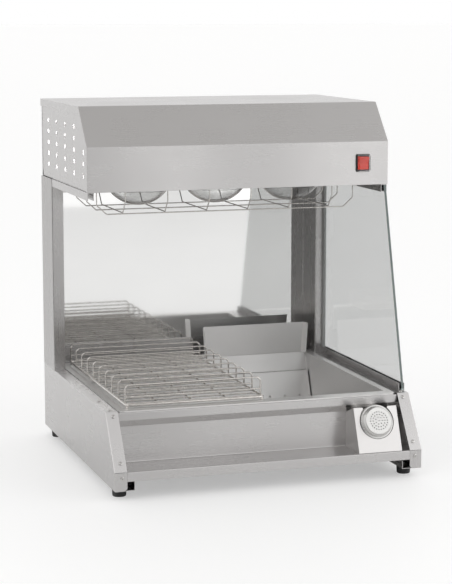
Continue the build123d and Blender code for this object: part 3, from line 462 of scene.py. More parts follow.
steel_along_x = brushed_steel("brushed_along_width", 0)
steel_along_y = brushed_steel("brushed_along_depth", 1)
zinc = brushed_steel("zinc_plate", 2, (0.74, 0.735, 0.72, 1), contrast=0.3)
finish(zinc, "foot_bolts")
finish(steel_along_y, "left_side_panel", "right_side_panel")
finish(steel_along_x, "base_back_panel", "front_rail", "front_shelf")

# ---- Tank and false bottom ------------------------------------------------------------------------
# The tank is pressed from stainless sheet with a turned-down rim. The false bottom is a punched
# blank with drain holes all over, folded down in front and up along the sloping wall.
tank_color = (0.82, 0.81, 0.80, 1)
tank_dark = (0.77, 0.76, 0.75, 1)
tank_duller = 0.15       # the drawn sheet is duller than the flat panels
sheet = 0.0012
bend = 0.002
bend_steps = 4
drain_radius = 0.002
drain_pitch = 0.036
drain_sides = 12
insert_height = 0.014
insert_drop = 0.0003
insert_ledge = 0.0086    # how far its top edge is turned back
insert_tilt = radians(22)
insert_upstand = 0.061
slope_row = 0.006        # height of the drains at the foot of the slope


def geometry_tree(name, **inputs):
    """An empty geometry tree with a geometry and named inputs."""
    named = {label.replace("_", " "): kind for label, kind in inputs.items()}
    return node_group(name, "GeometryNodeTree", {"Geometry": "Geometry", **named},
                      {"Geometry": "Geometry"})


def close_tree(tree, geometry, material, result):
    """Ends a geometry tree: its instances are made real and take the material."""
    real = grow(tree, "RealizeInstances", Geometry=geometry)
    feed(tree, result, Geometry=grow(tree, "SetMaterial", Geometry=real, Material=material))


def grow(tree, kind, **inputs):
    """What a geometry node gives, with its inputs by the sockets' names."""
    values = {socket.replace("_", " "): value for socket, value in inputs.items()}
    return add_node(tree, "GeometryNode" + kind, values).outputs[0]


def stored(tree, name, kind):
    """A value that is stored on the points of a geometry."""
    return add_node(tree, "GeometryNodeInputNamedAttribute", {"Name": name},
                    data_type=kind).outputs[0]


def settled_mesh(name, source):
    """The plain mesh of an object with its modifiers applied. The object is removed."""
    bpy.context.view_layer.update()
    evaluated = source.evaluated_get(bpy.context.evaluated_depsgraph_get())
    mesh = bpy.data.meshes.new_from_object(evaluated)
    mesh.name = name
    bpy.data.objects.remove(source)
    return mesh


def grown_mesh(name, source_mesh, tree, **values):
    """The plain mesh that a geometry tree makes from a source mesh."""
    source = link_object(name, source_mesh)
    modifier = source.modifiers.new(tree.name, "NODES")
    modifier.node_group = tree
    for socket in tree.interface.items_tree:
        label = socket.name.replace(" ", "_")
        if socket.in_out == "INPUT" and label in values:
            modifier[socket.identifier] = values[label]
    return settled_mesh(name, source)


# Punched blank: fills an outline in the XY plane and leaves a round hole at every loose point.
punch_tree, given, result = geometry_tree("punched_blank", Sides="Int", Material="Material")
hole_size = stored(punch_tree, "hole_radius", "FLOAT")
centres = grow(punch_tree, "MeshToPoints", Mesh=given["Geometry"], Selection=hole_size)
circle = grow(punch_tree, "CurvePrimitiveCircle", Resolution=given["Sides"], Radius=1.0)
holes = grow(punch_tree, "InstanceOnPoints", Points=centres, Instance=circle, Scale=hole_size)
border = grow(punch_tree, "MeshToCurve", Mesh=given["Geometry"])
lines = add_node(punch_tree, "GeometryNodeJoinGeometry")
punch_tree.links.new(border, lines.inputs[0])
punch_tree.links.new(grow(punch_tree, "RealizeInstances", Geometry=holes), lines.inputs[0])
close_tree(punch_tree, grow(punch_tree, "FillCurve", Curve=lines.outputs[0]),
           given["Material"], result)


def blank_mesh(name, outline, holes, sides, material):
    """A flat punched blank from its outline and its (x, y, radius) holes."""
    mesh = bpy.data.meshes.new(name)
    count = len(outline)
    points = [(x, y, 0) for x, y in outline] + [(x, y, 0) for x, y, radius in holes]
    mesh.from_pydata(points, [(i, (i + 1) % count) for i in range(count)], [])
    sizes = mesh.attributes.new("hole_radius", "FLOAT", "POINT")
    sizes.data.foreach_set("value", [0.0] * count + [radius for x, y, radius in holes])
    return grown_mesh(name, mesh, punch_tree, Sides=sides, Material=material)


def bend_line(points, radius=bend, steps=bend_steps):
    """Show-face line of a fold: (length along it, across, up), with its corners rounded."""
    line = [Vector(points[0])]
    for before, corner, after in zip(points, points[1:], points[2:]):
        corner, arm_in, arm_out = Vector(corner), Vector(before), Vector(after)
        arm_in = (arm_in - corner).normalized()
        arm_out = (arm_out - corner).normalized()
        half = arm_in.angle(arm_out) / 2
        start = corner + arm_in * radius / tan(half)
        centre = corner + (arm_in + arm_out).normalized() * radius / sin(half)
        sweep = pi - 2 * half
        side = 1 if arm_in.cross(arm_out) < 0 else -1
        for step in range(steps + 1):
            spoke = start - centre
            spoke.rotate(Matrix.Rotation(side * sweep * step / steps, 2))
            line.append(centre + spoke)
    line.append(Vector(points[-1]))
    lengths = [0.0]
    for first, second in zip(line, line[1:]):
        lengths.append(lengths[-1] + (second - first).length)
    return [(length, point.x, point.y) for length, point in zip(lengths, line)]


def fold_mesh(mesh, line, fold_along):
    """Folds a flat blank along a line, which its Y follows; fold_along(x, across, up) places it."""
    with edited(mesh) as shape:
        for length, across, up in line[1:-1]:
            bmesh.ops.bisect_plane(shape, geom=shape.verts[:] + shape.edges[:] + shape.faces[:],
                                   plane_co=(0, length, 0), plane_no=(0, 1, 0), dist=1e-7)
        for vertex in shape.verts:
            index = 0
            while index < len(line) - 2 and vertex.co.y > line[index + 1][0]:
                index += 1
            start, end = line[index], line[index + 1]
            share = (vertex.co.y - start[0]) / (end[0] - start[0])
            across, up = (a + (b - a) * share for a, b in zip(start[1:], end[1:]))
            vertex.co = Vector(fold_along(vertex.co.x, across, up))
        bmesh.ops.remove_doubles(shape, verts=shape.verts, dist=1e-6)
    return mesh


def face_towards(mesh, direction):
    """Turns the faces of an open sheet so that they look to a direction's side."""
    with edited(mesh) as shape:
        wrong = [face for face in shape.faces if face.normal.dot(Vector(direction)) < 0]
        bmesh.ops.reverse_faces(shape, faces=wrong)
    return mesh


def thickened(mesh, thickness=sheet):
    """A closed sheet from an open one: its wall goes behind its show face."""
    source = link_object(mesh.name, mesh)
    wall = source.modifiers.new("wall", "SOLIDIFY")
    wall.thickness = thickness
    wall.offset = -1.0
    wall.use_even_offset = True
    return shade(settled_mesh(mesh.name, source))


soft_steel = brushed_steel("pressed_tank_steel", 0, light=tank_color, dark=tank_dark,
                           duller=tank_duller)
finish(soft_steel, "well_tank")
low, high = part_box("false_bottom")
insert_top = low.z + insert_height - insert_drop
foot_y = high.y - insert_upstand * tan(insert_tilt) - insert_ledge
slope_end = foot_y + insert_upstand * tan(insert_tilt)
insert_line = bend_line([
    (low.y, low.z),
    (low.y, insert_top),
    (foot_y, insert_top),
    (slope_end, insert_top + insert_upstand),
    (high.y, insert_top + insert_upstand),
])
insert_length = insert_line[-1][0]
floor_start = insert_top - low.z - 2 * bend + bend * pi / 2
slope_start = floor_start + bend + (foot_y - low.y) - 2 * bend
drains = []
columns = int((high.x - low.x - drain_pitch) // drain_pitch) + 1
rows = int((foot_y - low.y - drain_pitch) // drain_pitch) + 1
for column in range(columns):
    x = (column - (columns - 1) / 2) * drain_pitch
    for row in range(rows):
        drains.append((x, floor_start + bend + drain_pitch / 2 + row * drain_pitch, drain_radius))
    drains.append((x, slope_start + 2 * bend + slope_row, drain_radius))
outline = [(low.x, 0), (high.x, 0), (high.x, insert_length), (low.x, insert_length)]
insert = blank_mesh("drained_insert", outline, drains, drain_sides, soft_steel)
insert = fold_mesh(insert, insert_line, lambda x, across, up: (x, across, up))
insert = face_towards(insert, (0, -1, 1))
dress("drained_insert", thickened(insert), soft_steel, "insert", "brushed_stainless",
      "false_bottom")

# ---- Screws ---------------------------------------------------------------------------------------
# Zinc-plated pan-head screws with a cross recess hold the front rail, the shelf and the rim to the
# side panels' flanges, the posts to their brackets, and the lamp tray to the hood.
screw_radius = 0.004
screw_height = 0.002
screw_sides = 20
screw_flat = 0.55        # of its radius
screw_rim = 0.3          # of its height
crown_start = 0.35
recess_arm = 0.0022
recess_width = 0.0009
recess_drop = 0.0012
flange_screw_heights = (0.054, 0.136)    # on the sloping flanges, above the base's bottom
foot_screw_height = 0.026
flange_screw_inset = 0.0155
deck_screw_inset = 0.013
deck_screw_places = ((-1, 0.085), (-1, 0.175), (1, 0.085))   # side, and distance behind the front
deck_setback = 0.0715    # of the deck's front edge behind the shelf's
shelf_height = 0.038     # above the base's bottom

# Set screws: a copy of the screw's head on every point, turned to the point's outward direction.
screw_tree, given, result = geometry_tree("set_screws", Head="Object", Material="Material")
head_shape = add_node(screw_tree, "GeometryNodeObjectInfo", {"Object": given["Head"]})
turn = add_node(screw_tree, "FunctionNodeAlignRotationToVector",
                {"Vector": stored(screw_tree, "outward", "FLOAT_VECTOR")}, axis="Z").outputs[0]
spread = grow(screw_tree, "InstanceOnPoints", Points=given["Geometry"],
              Instance=head_shape.outputs["Geometry"], Rotation=turn)
close_tree(screw_tree, spread, given["Material"], result)

dome = [(0, screw_height)]
for step in range(1, 5):
    angle = radians(90 - 18 * step)
    dome.append((screw_radius * (screw_flat + (1 - screw_flat) * cos(angle)),
                 screw_height * (crown_start + (1 - crown_start) * sin(angle))))
dome += [(screw_radius, screw_height * screw_rim), (screw_radius, 0), (0, 0)]
head = link_object("screw_head", turned_mesh("screw_head", dome, Matrix(), screw_sides))
cutters = []
for turn_angle in (0, pi / 2):
    points = []
    for z, half, arm in ((screw_height * 1.2, recess_width / 2, recess_arm),
                         (screw_height - recess_drop, recess_width / 3, recess_arm / 2)):
        for x, y in ((-arm, -half), (arm, -half), (arm, half), (-arm, half)):
            points.append(Matrix.Rotation(turn_angle, 3, "Z") @ Vector((x, y, z)))
    faces = [(0, 1, 2, 3), (4, 5, 6, 7), (0, 1, 5, 4), (1, 2, 6, 5), (2, 3, 7, 6), (3, 0, 4, 7)]
    cutters.append(link_object("recess_cutter", mesh_from("recess_arm", points, faces)))
    cut = head.modifiers.new("recess", "BOOLEAN")
    cut.object = cutters[-1]
    cut.operation = "DIFFERENCE"
head = link_object("screw_head", shade(settled_mesh("screw_head", head)))
for cutter in cutters:
    bpy.data.objects.remove(cutter)

screw_zinc, tree, shader = new_material("screw_zinc", Metallic=1.0, Roughness=0.14)
feed(tree, shader, Base_Color=ramp(tree, noise(tree, 700.0, 2.0), 0.3, 0.7, (0.50, 0.49, 0.48, 1),
                                   (0.66, 0.65, 0.63, 1)))


def screws(name, seats, replaced):
    """Screws at (place, outward direction) seats, as one piece that stands for a node."""
    mesh = bpy.data.meshes.new(name)
    mesh.from_pydata([tuple(place) for place, direction in seats], [], [])
    outwards = mesh.attributes.new("outward", "FLOAT_VECTOR", "POINT")
    outwards.data.foreach_set("vector", [value for seat in seats for value in seat[1]])
    heads = grown_mesh(name, mesh, screw_tree, Head=head, Material=screw_zinc)
    dress(name, heads, screw_zinc, "cabinet", "plated_screws", replaced)


panel_low, panel_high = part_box("right_side_panel")
deck_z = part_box("well_tank")[1].z
front_y = panel_low.y
deck_front_y = front_y + deck_setback
shelf_z = panel_low.z + shelf_height
screw_x = panel_high.x - flange_screw_inset
lean = Vector((0, shelf_z - deck_z, deck_setback)).normalized()
front_seats = []
for side in (-1, 1):
    for height in flange_screw_heights:
        y = front_y + (height - shelf_height) * (deck_front_y - front_y) / (deck_z - shelf_z)
        front_seats.append((Vector((side * screw_x, y, panel_low.z + height)), lean))
    front_seats.append((Vector((side * screw_x, front_y, panel_low.z + foot_screw_height)),
                        Vector((0, -1, 0))))
screws("front_flange_screw_heads", front_seats, "front_flange_screws")
deck_x = panel_high.x - deck_screw_inset
screws("deck_flange_screw_heads",
       [(Vector((side * deck_x, front_y + back, deck_z)), Vector((0, 0, 1)))
        for side, back in deck_screw_places], "deck_flange_screws")

# ---- Posts, mirror panel and upstand --------------------------------------------------------------
# Two folded posts carry the hood. Between them stands a panel that is mirror-finished in front
# only, and before its foot an angle that also carries the rear of the tank's rim.
mirror_color = (0.93, 0.93, 0.925, 1)
mirror_haze = (0.90, 0.90, 0.895, 1)
rear_roughness = (0.32, 0.32, 0.32, 1)   # the sheet's rear is not polished
post_screw_back = 0.027
post_screw_height = 0.016
mirror_steel, tree, shader = new_material("mirror_polish", Metallic=1.0)
haze = noise(tree, 5.0, 3.0)
normal = read(tree, "NewGeometry", "True Normal")
rear = compute(tree, "GREATER_THAN", dot(tree, normal, (0, 1, 0)), 0.5)
veil = carried(tree, haze, 0.3, 0.75, 0.03, 0.07)
tone = ramp(tree, haze, 0.3, 0.7, mirror_haze, mirror_color)
feed(tree, shader, Roughness=blend(tree, rear, veil, rear_roughness),
     Base_Color=blend(tree, rear, tone, steel_color))
finish(mirror_steel, "mirror_panel")
steel_along_z = brushed_steel("brushed_upright", 2)
finish(steel_along_z, "left_post", "right_post", "post_brackets")
finish(steel_along_x, "rear_upstand")

post_seats = []
for side, node in ((-1, "left_post"), (1, "right_post")):
    low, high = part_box(node)
    face_x = high.x if side < 0 else low.x
    post_seats.append((Vector((face_x, low.y + post_screw_back, low.z + post_screw_height)),
                       Vector((-side, 0, 0))))
screws("post_screw_heads", post_seats, "post_screws")

# ---- Glass side -----------------------------------------------------------------------------------
# A 5 mm toughened pane stands in a folded channel on the right deck flange and under a top rail.
# Its ground edges look green, and a grey vinyl strip closes its rear edge.
glass_tint = (0.865, 0.875, 0.872, 1)
glass_edge = (0.60, 0.70, 0.67, 1)
# painted glow: emission on the ground edges, standing in for the room's light they scatter
painted_edge_glow = (0.13, 0.155, 0.15, 1)      # the ground edges scatter the room's light
clear_glass, tree, shader = new_material("toughened_pane", Transmission_Weight=1.0, IOR=1.5,
                                         Roughness=0.0, Emission_Strength=1.0)
normal = read(tree, "NewGeometry", "True Normal")
flatness = compute(tree, "ABSOLUTE", dot(tree, normal, (1, 0, 0)))
# The edges are tinted green, and their emission gives them a painted glow.
feed(tree, shader, Base_Color=ramp(tree, flatness, 0.4, 0.6, glass_edge, glass_tint),
     Emission_Color=ramp(tree, flatness, 0.4, 0.6, painted_edge_glow, (0, 0, 0, 1)))
finish(clear_glass, "side_glass")
finish(steel_along_y, "glass_channel", "left_top_rail", "right_top_rail")
seal_vinyl = dusty_material("grey_vinyl_seal", (0.46, 0.465, 0.46, 1), (0.55, 0.55, 0.545, 1), 0.4,
                            70.0, 0.5)
finish(seal_vinyl, "glass_rear_seal")

# ---- Hood shell -----------------------------------------------------------------------------------
# Front, slope and top are one brushed sheet, folded over the side panels' edges. The side panels
# are punched with rows of round vents and folded in along the bottom. The back panel carries the
# gland for the mains lead.
vent_radius = 0.005
vent_sides = 24
vent_pitch_y = 0.0807
vent_pitch_z = 0.0236
vent_first_y = 0.0415    # from the hood's front
vent_first_z = 0.0313    # from the hood's underside
vent_columns = 5
vent_rows = 5
vent_front_rows = 3
side_flange = 0.026
lip_width = 0.009        # of the cover's edge, folded over the side panels
slope_run = 0.0705
slope_rise = 0.0791
inner_glow_power = 1.2   # light behind the vents
glow_inset = 0.035
glow_depth = 0.033
glow_height = 0.095
glow_rise = 0.065

finish(steel_along_x, "hood_cover", "hood_back_panel", "lamp_tray")
cover_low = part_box("hood_cover")[0]
for side, node in ((-1, "hood_left_side"), (1, "hood_right_side")):
    low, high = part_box(node)
    edge_x = high.x if side > 0 else low.x
    face_x = edge_x - side * sheet
    flange_line = bend_line([
        (face_x - side * side_flange, low.z), (face_x, low.z), (face_x, high.z)
    ])
    lost = flange_line[-1][0] - (high.z - low.z)     # length along the fold before the wall's foot
    slope_y = low.y + slope_run
    outline = [(low.y, 0), (high.y, 0), (high.y, flange_line[-1][0]), (slope_y, flange_line[-1][0]),
               (low.y, flange_line[-1][0] - slope_rise)]
    vents = []
    for column in range(vent_columns):
        for row in range(vent_front_rows if column == 0 else vent_rows):
            vents.append((cover_low.y + vent_first_y + column * vent_pitch_y,
                          lost + vent_first_z + row * vent_pitch_z, vent_radius))
    wall = blank_mesh(node + "_vented", outline, vents, vent_sides, steel_along_y)
    wall = fold_mesh(wall, flange_line, lambda along, across, up: (across, along, up))
    wall = face_towards(wall, (side, 0, -0.5))
    slant = atan2(slope_rise, slope_run)
    rim = [(low.y, low.z), (low.y, high.z - slope_rise), (slope_y, high.z), (high.y, high.z)]
    inner_rim = [
        (low.y + lip_width, low.z),
        (low.y + lip_width, high.z - slope_rise - lip_width * tan((pi / 2 - slant) / 2)),
        (slope_y + lip_width * (1 - cos(slant)) / sin(slant), high.z - lip_width),
        (high.y, high.z - lip_width),
    ]
    band = mesh_from("edge_lip", [(edge_x, y, z) for y, z in rim + inner_rim],
                     [(i, i + 1, i + 5, i + 4) for i in range(3)])
    lip = thickened(face_towards(band, (side, 0, 0)), sheet * 0.98)
    wall = joined(node + "_vented", [thickened(wall), lip])
    dress(node + "_vented", shade(wall), steel_along_y, "cabinet", "brushed_stainless", node)
    area_light("vent_glow", (edge_x - side * glow_depth, (low.y + high.y) / 2, low.z + glow_rise),
               Matrix(((0, 0, -side), (-side, 0, 0), (0, 1, 0))).to_euler(),
               (high.y - low.y - 2 * glow_inset, glow_height), inner_glow_power)

black_plastic = dusty_material("black_nylon", (0.018, 0.018, 0.019, 1), (0.07, 0.07, 0.07, 1),
                               0.42, 80.0, 0.5)
gland_low, gland_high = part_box("cable_gland")
nut_radius = (gland_high.x - gland_low.x) / 2
gland_bore = 0.0035
barrel_radius = 0.009
cap_radius = 0.0066
cap_ribs = 24
nut_length = 0.005
nut_edge = 0.0008
cap_round = 0.0015
cap_rib_depth = 0.03     # of its radius
cap_tip = 0.8
gland_length = gland_high.y - gland_low.y
gland_start = Vector(((gland_low.x + gland_high.x) / 2, gland_low.y,
                      (gland_low.z + gland_high.z) / 2))
gland_place = Matrix.Translation(gland_start) @ Matrix.Rotation(-pi / 2, 4, "X")


def nut_profile(start):
    """Profile of a chamfered nut on the gland's barrel."""
    end, flat = start + nut_length, nut_radius - nut_edge
    return [(gland_bore, start), (flat, start), (nut_radius, start + nut_edge),
            (nut_radius, end - nut_edge), (flat, end), (gland_bore, end), (gland_bore, start)]


cap_start = nut_length + sheet + nut_length
gland = joined("ribbed_gland", [
    turned_mesh("nut", nut_profile(0), gland_place, 6),
    turned_mesh("nut", nut_profile(nut_length + sheet), gland_place, 6),
    turned_mesh("barrel", [(gland_bore, nut_length), (barrel_radius, nut_length),
                           (barrel_radius, nut_length + sheet), (gland_bore, nut_length + sheet),
                           (gland_bore, nut_length)], gland_place),
    turned_mesh("cap", [(gland_bore, cap_start), (cap_radius, cap_start),
                        (cap_radius, gland_length - cap_round),
                        (cap_radius * cap_tip, gland_length),
                        (gland_bore, gland_length), (gland_bore, cap_start)], gland_place,
                4 * cap_ribs, cap_ribs, cap_rib_depth),
])
dress("ribbed_gland", shade(gland), black_plastic, "cabinet", "black_plastic", "cable_gland")

low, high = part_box("hood_screws")
tray_seats = [(Vector((low.x + screw_radius + index * (high.x - low.x - 2 * screw_radius) / 3,
                       (low.y + high.y) / 2, low.z + screw_height)), Vector((0, 0, -1)))
              for index in range(4)]
screws("hood_screw_heads", tray_seats, "hood_screws")
bpy.data.objects.remove(head)

# ---- Lamps ----------------------------------------------------------------------------------------
# Three infrared reflector lamps hang from ceramic holders in the trough of the lamp tray. Their
# bulbs are blown glass with a clear domed face and a silvered cone.
lamp_pitch = 0.17
lamp_radius = 0.0625
lamp_dome = 0.032
lamp_band = 0.009
lamp_neck_radius = 0.021
lamp_neck_height = 0.122
glass_wall = 0.001
dome_steps = 12
lamp_sides = 96
reflector_flutes = 24
flute_depth = 0.02       # of its radius
cone_line = ((0.93, 0.012), (0.72, 0.042))   # share of the lamp's radius, height above its band
cone_foot = (1.25, 0.008)    # share of the neck's radius, height below the neck

bulb_glass, tree, shader = new_material("bulb_glass", Transmission_Weight=1.0, IOR=1.45,
                                        Roughness=0.04)
tint = ramp(tree, noise(tree, 30.0, 3.0), 0.3, 0.7, (0.76, 0.762, 0.76, 1), (0.92, 0.92, 0.915, 1))
rim_shade = ramp(tree, read(tree, "LayerWeight", "Facing"), 0.55, 0.95,
                 (1, 1, 1, 1), (0.34, 0.27, 0.22, 1))
feed(tree, shader, Base_Color=blend(tree, 1.0, tint, rim_shade, blend_type="MULTIPLY"))
silvering, tree, shader = new_material("reflector_silvering", Metallic=1.0, Roughness=0.12)
# The ripples bump the silvering and also run its colour from near black to bright: painted streaks
# of reflection.
ripple_and_painted_streaks = noise(tree, 28.0, 1.0)
wavy = add_node(tree, "ShaderNodeBump", {"Height": ripple_and_painted_streaks, "Strength": 0.9, "Distance": 0.006})
feed(tree, shader, Normal=wavy.outputs[0],
     Base_Color=ramp(tree, ripple_and_painted_streaks, 0.3, 0.7, (0.06, 0.057, 0.054, 1), (0.74, 0.735, 0.725, 1)))

low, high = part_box("reflector_lamps")
lamp_low, lamp_y = low.z, (low.y + high.y) / 2
neck_top = high.z - low.z
sphere = (lamp_radius**2 + lamp_dome**2) / (2 * lamp_dome)
rim_angle = atan2(lamp_radius, sphere - lamp_dome)


def dome_line(inset):
    """(radius, height) points of the domed face, drawn in by an inset."""
    radius = sphere - inset
    angles = [rim_angle * step / dome_steps for step in range(dome_steps + 1)]
    return [(radius * sin(angle), sphere - radius * cos(angle)) for angle in angles]


outer = dome_line(0) + [(lamp_radius, lamp_dome + lamp_band)]
inner = dome_line(glass_wall) + [(lamp_radius - glass_wall, lamp_dome + lamp_band)]
face_profile = outer + inner[::-1]
cone = [(lamp_radius - glass_wall / 2, lamp_dome + lamp_band)]
cone += [(lamp_radius * share, lamp_dome + lamp_band + rise) for share, rise in cone_line]
cone += [(lamp_neck_radius * cone_foot[0], lamp_neck_height - cone_foot[1]),
         (lamp_neck_radius, lamp_neck_height), (lamp_neck_radius, neck_top)]
cone_inner = [(radius - glass_wall, height) for radius, height in cone[:-1]]
cone_profile = cone + [(0, neck_top), (0, neck_top - glass_wall),
                       (lamp_neck_radius - glass_wall, neck_top - glass_wall)]
cone_profile += cone_inner[::-1] + cone[:1]
faces, cones = [], []
for index in (-1, 0, 1):
    place = Matrix.Translation((index * lamp_pitch, lamp_y, lamp_low))
    faces.append(turned_mesh("lamp_face", face_profile, place, lamp_sides))
    cones.append(turned_mesh("lamp_cone", cone_profile, place, lamp_sides, reflector_flutes,
                             flute_depth))
dress("lamp_faces", shade(joined("lamp_faces", faces)), bulb_glass, "cabinet", "lamp_glass",
      "reflector_lamps")
dress("lamp_reflectors", shade(joined("lamp_reflectors", cones)), silvering, "cabinet",
      "lamp_glass")

ceramic = dusty_material("glazed_ceramic", (0.80, 0.79, 0.76, 1), (0.6, 0.58, 0.55, 1), 0.25,
                         40.0, 0.5)
finish(ceramic, "lampholders")
brass = brushed_steel("brass_cap", 2, (0.78, 0.60, 0.30, 1), (0.66, 0.49, 0.23, 1))
finish(brass, "lamp_caps")
sleeve = dusty_material("silicone_sleeve", (0.55, 0.16, 0.08, 1), (0.5, 0.3, 0.2, 1), 0.5, 90.0,
                        0.4)
finish(sleeve, "lamp_leads", "switch_lead")
terminal_plastic = dusty_material("terminal_plastic", (0.78, 0.77, 0.74, 1), (0.6, 0.58, 0.55, 1),
                                  0.4, 60.0, 0.5)
finish(terminal_plastic, "terminal_block")
finish(steel_along_x, "guard_clips")

# ---- Lamp guard -----------------------------------------------------------------------------------
# A welded basket of bright-plated wire hangs under the lamps: three long wires and six cross wires,
# each bent up at both ends into the trough.
wire_color = (0.80, 0.77, 0.735, 1)
guard_wire = 0.0012
guard_bend = 0.005
wire_sides = 10
guard_rise_long = 0.019
guard_slant_long = 0.021
guard_rise_cross = 0.025
guard_slant_cross = 0.022
guard_rows = 3
guard_row_pitch = 0.09
guard_columns = 6
guard_column_pitch = 0.091
weld = 0.00025

# Bent wires: the source's routes are copied at a pitch, their corners rounded, and given a section.
wire_tree, given, result = geometry_tree(
    "bent_wires", Copies="Int", Step="Vector", Wire_Radius="Float", Bend_Radius="Float",
    Sides="Int", Material="Material")
route = grow(wire_tree, "MeshToCurve", Mesh=given["Geometry"])
row = grow(wire_tree, "MeshLine", Count=given["Copies"], Offset=given["Step"])
copies = grow(wire_tree, "RealizeInstances",
              Geometry=grow(wire_tree, "InstanceOnPoints", Points=row, Instance=route))
rounded = add_node(wire_tree, "GeometryNodeFilletCurve",
                   {"Curve": copies, "Radius": given["Bend Radius"], "Limit Radius": True,
                    "Count": 5}, mode="POLY")
section = grow(wire_tree, "CurvePrimitiveCircle", Resolution=given["Sides"],
               Radius=given["Wire Radius"])
swept = grow(wire_tree, "CurveToMesh", Curve=rounded.outputs[0], Profile_Curve=section,
             Fill_Caps=True)
close_tree(wire_tree, grow(wire_tree, "SetShadeSmooth", Geometry=swept),
           given["Material"], result)


def wires(routes, radius, bend_radius, material, copies=1, step=(0, 0, 0), closed=False):
    """Round wires along routes of points, repeated a number of times at a step."""
    points, edges = [], []
    for path in routes:
        first = len(points)
        points += [tuple(point) for point in path]
        edges += [(first + i, first + i + 1) for i in range(len(path) - 1)]
        if closed:
            edges.append((first + len(path) - 1, first))
    mesh = bpy.data.meshes.new("wire_routes")
    mesh.from_pydata(points, edges, [])
    return grown_mesh("wires", mesh, wire_tree, Copies=copies, Step=step, Wire_Radius=radius,
                      Bend_Radius=bend_radius, Sides=wire_sides, Material=material)


bright_wire, tree, shader = new_material("bright_plated_wire", Metallic=1.0)
speck = noise(tree, 220.0, 3.0)
feed(tree, shader, Roughness=carried(tree, speck, 0.3, 0.7, 0.26, 0.16),
     Base_Color=ramp(tree, speck, 0.3, 0.7, (0.58, 0.555, 0.53, 1), wire_color))

low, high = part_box("lamp_guard")
end_x = high.x - guard_wire
end_y = high.y - guard_wire
start_y = low.y + guard_wire
wire_z = low.z + guard_wire
cross_z = wire_z + 2 * guard_wire - weld
long_route = [
    (-end_x, start_y, high.z), (-end_x, start_y, wire_z + guard_rise_long),
    (guard_slant_long - end_x, start_y, wire_z), (end_x - guard_slant_long, start_y, wire_z),
    (end_x, start_y, wire_z + guard_rise_long), (end_x, start_y, high.z),
]
first_row = (start_y + end_y) / 2 - guard_row_pitch
long_route = [(x, first_row, z) for x, y, z in long_route]
first_column = -(guard_columns - 1) / 2 * guard_column_pitch
cross_route = [
    (first_column, start_y, high.z), (first_column, start_y, cross_z + guard_rise_cross),
    (first_column, start_y + guard_slant_cross, cross_z),
    (first_column, end_y - guard_slant_cross, cross_z),
    (first_column, end_y, cross_z + guard_rise_cross), (first_column, end_y, high.z),
]
guard = joined("guard_basket", [
    wires([long_route], guard_wire, guard_bend, bright_wire, guard_rows, (0, guard_row_pitch, 0)),
    wires([cross_route], guard_wire, guard_bend, bright_wire, guard_columns,
          (guard_column_pitch, 0, 0)),
])
dress("guard_basket", guard, bright_wire, "cabinet", "plated_wire", "lamp_guard")

# ---- Lamp filaments -------------------------------------------------------------------------------
# Inside each lamp a tungsten ring hangs on three stays from a glass stem. Unlit, it is dark against
# the silvering.
filament_radius = 0.0115
filament_wire = 0.0013
filament_height = 0.046
filament_steps = 16
stay_count = 3
stay_wire = 0.0005
stay_bend = 0.002
stay_inset = 0.25        # share of the ring's radius where a stay meets the stem
stay_heights = (0.02, 0.05)
stem_radius = 0.0035
stem_profile = [(0, 0.012), (stem_radius * 0.7, 0.0125), (stem_radius, 0.016), (stem_radius, 0.06),
                (0, 0.06)]
stem_sides = 24


def round_points(radius, count):
    """Points round a circle, about its centre."""
    angles = [2 * pi * index / count for index in range(count)]
    return [Vector((radius * cos(angle), radius * sin(angle), 0)) for angle in angles]


filament_parts = []
for index in (-1, 0, 1):
    centre = Vector((index * lamp_pitch, lamp_y, lamp_low + filament_height))
    ring = [centre + point for point in round_points(filament_radius, filament_steps)]
    stays = [[centre + arm] + [centre + stay_inset * arm + Vector((0, 0, rise))
                               for rise in stay_heights]
             for arm in round_points(filament_radius, stay_count)]
    filament_parts += [
        wires([ring], filament_wire, 0.0, bright_wire, closed=True),
        wires(stays, stay_wire, stay_bend, bright_wire),
        turned_mesh("stem", stem_profile, Matrix.Translation(centre), stem_sides),
    ]
filament_metal = dusty_material("tungsten_and_glass", (0.03, 0.029, 0.028, 1),
                                (0.06, 0.058, 0.055, 1), 0.35, 90.0, 0.5)
dress("lamp_filaments", joined("lamp_filaments", filament_parts), filament_metal, "cabinet",
      "lamp_glass")

# ---- Switch ---------------------------------------------------------------------------------------
# An illuminated rocker switch snapped into the hood's front: black bezel, translucent red rocker
# with a faint painted glow, and a clear splash cover on the bezel.
corner_steps = 6


def boxed_mesh(name, sections, place):
    """A moulded piece through rounded oblongs: (half width, half height, corner radius, depth)."""
    vertices = []
    for half_width, half_height, radius, depth in sections:
        for quarter in range(4):
            right = 1 if quarter in (0, 3) else -1
            upper = 1 if quarter < 2 else -1
            for step in range(corner_steps + 1):
                angle = (quarter + step / corner_steps) * pi / 2
                vertices.append(place + Vector((
                    right * (half_width - radius) + radius * cos(angle), depth,
                    upper * (half_height - radius) + radius * sin(angle))))
    count = 4 * (corner_steps + 1)
    ends = [tuple(range(count)), tuple(range((len(sections) - 1) * count, len(sections) * count))]
    return mesh_from(name, vertices, ring_faces(len(sections), count) + ends)


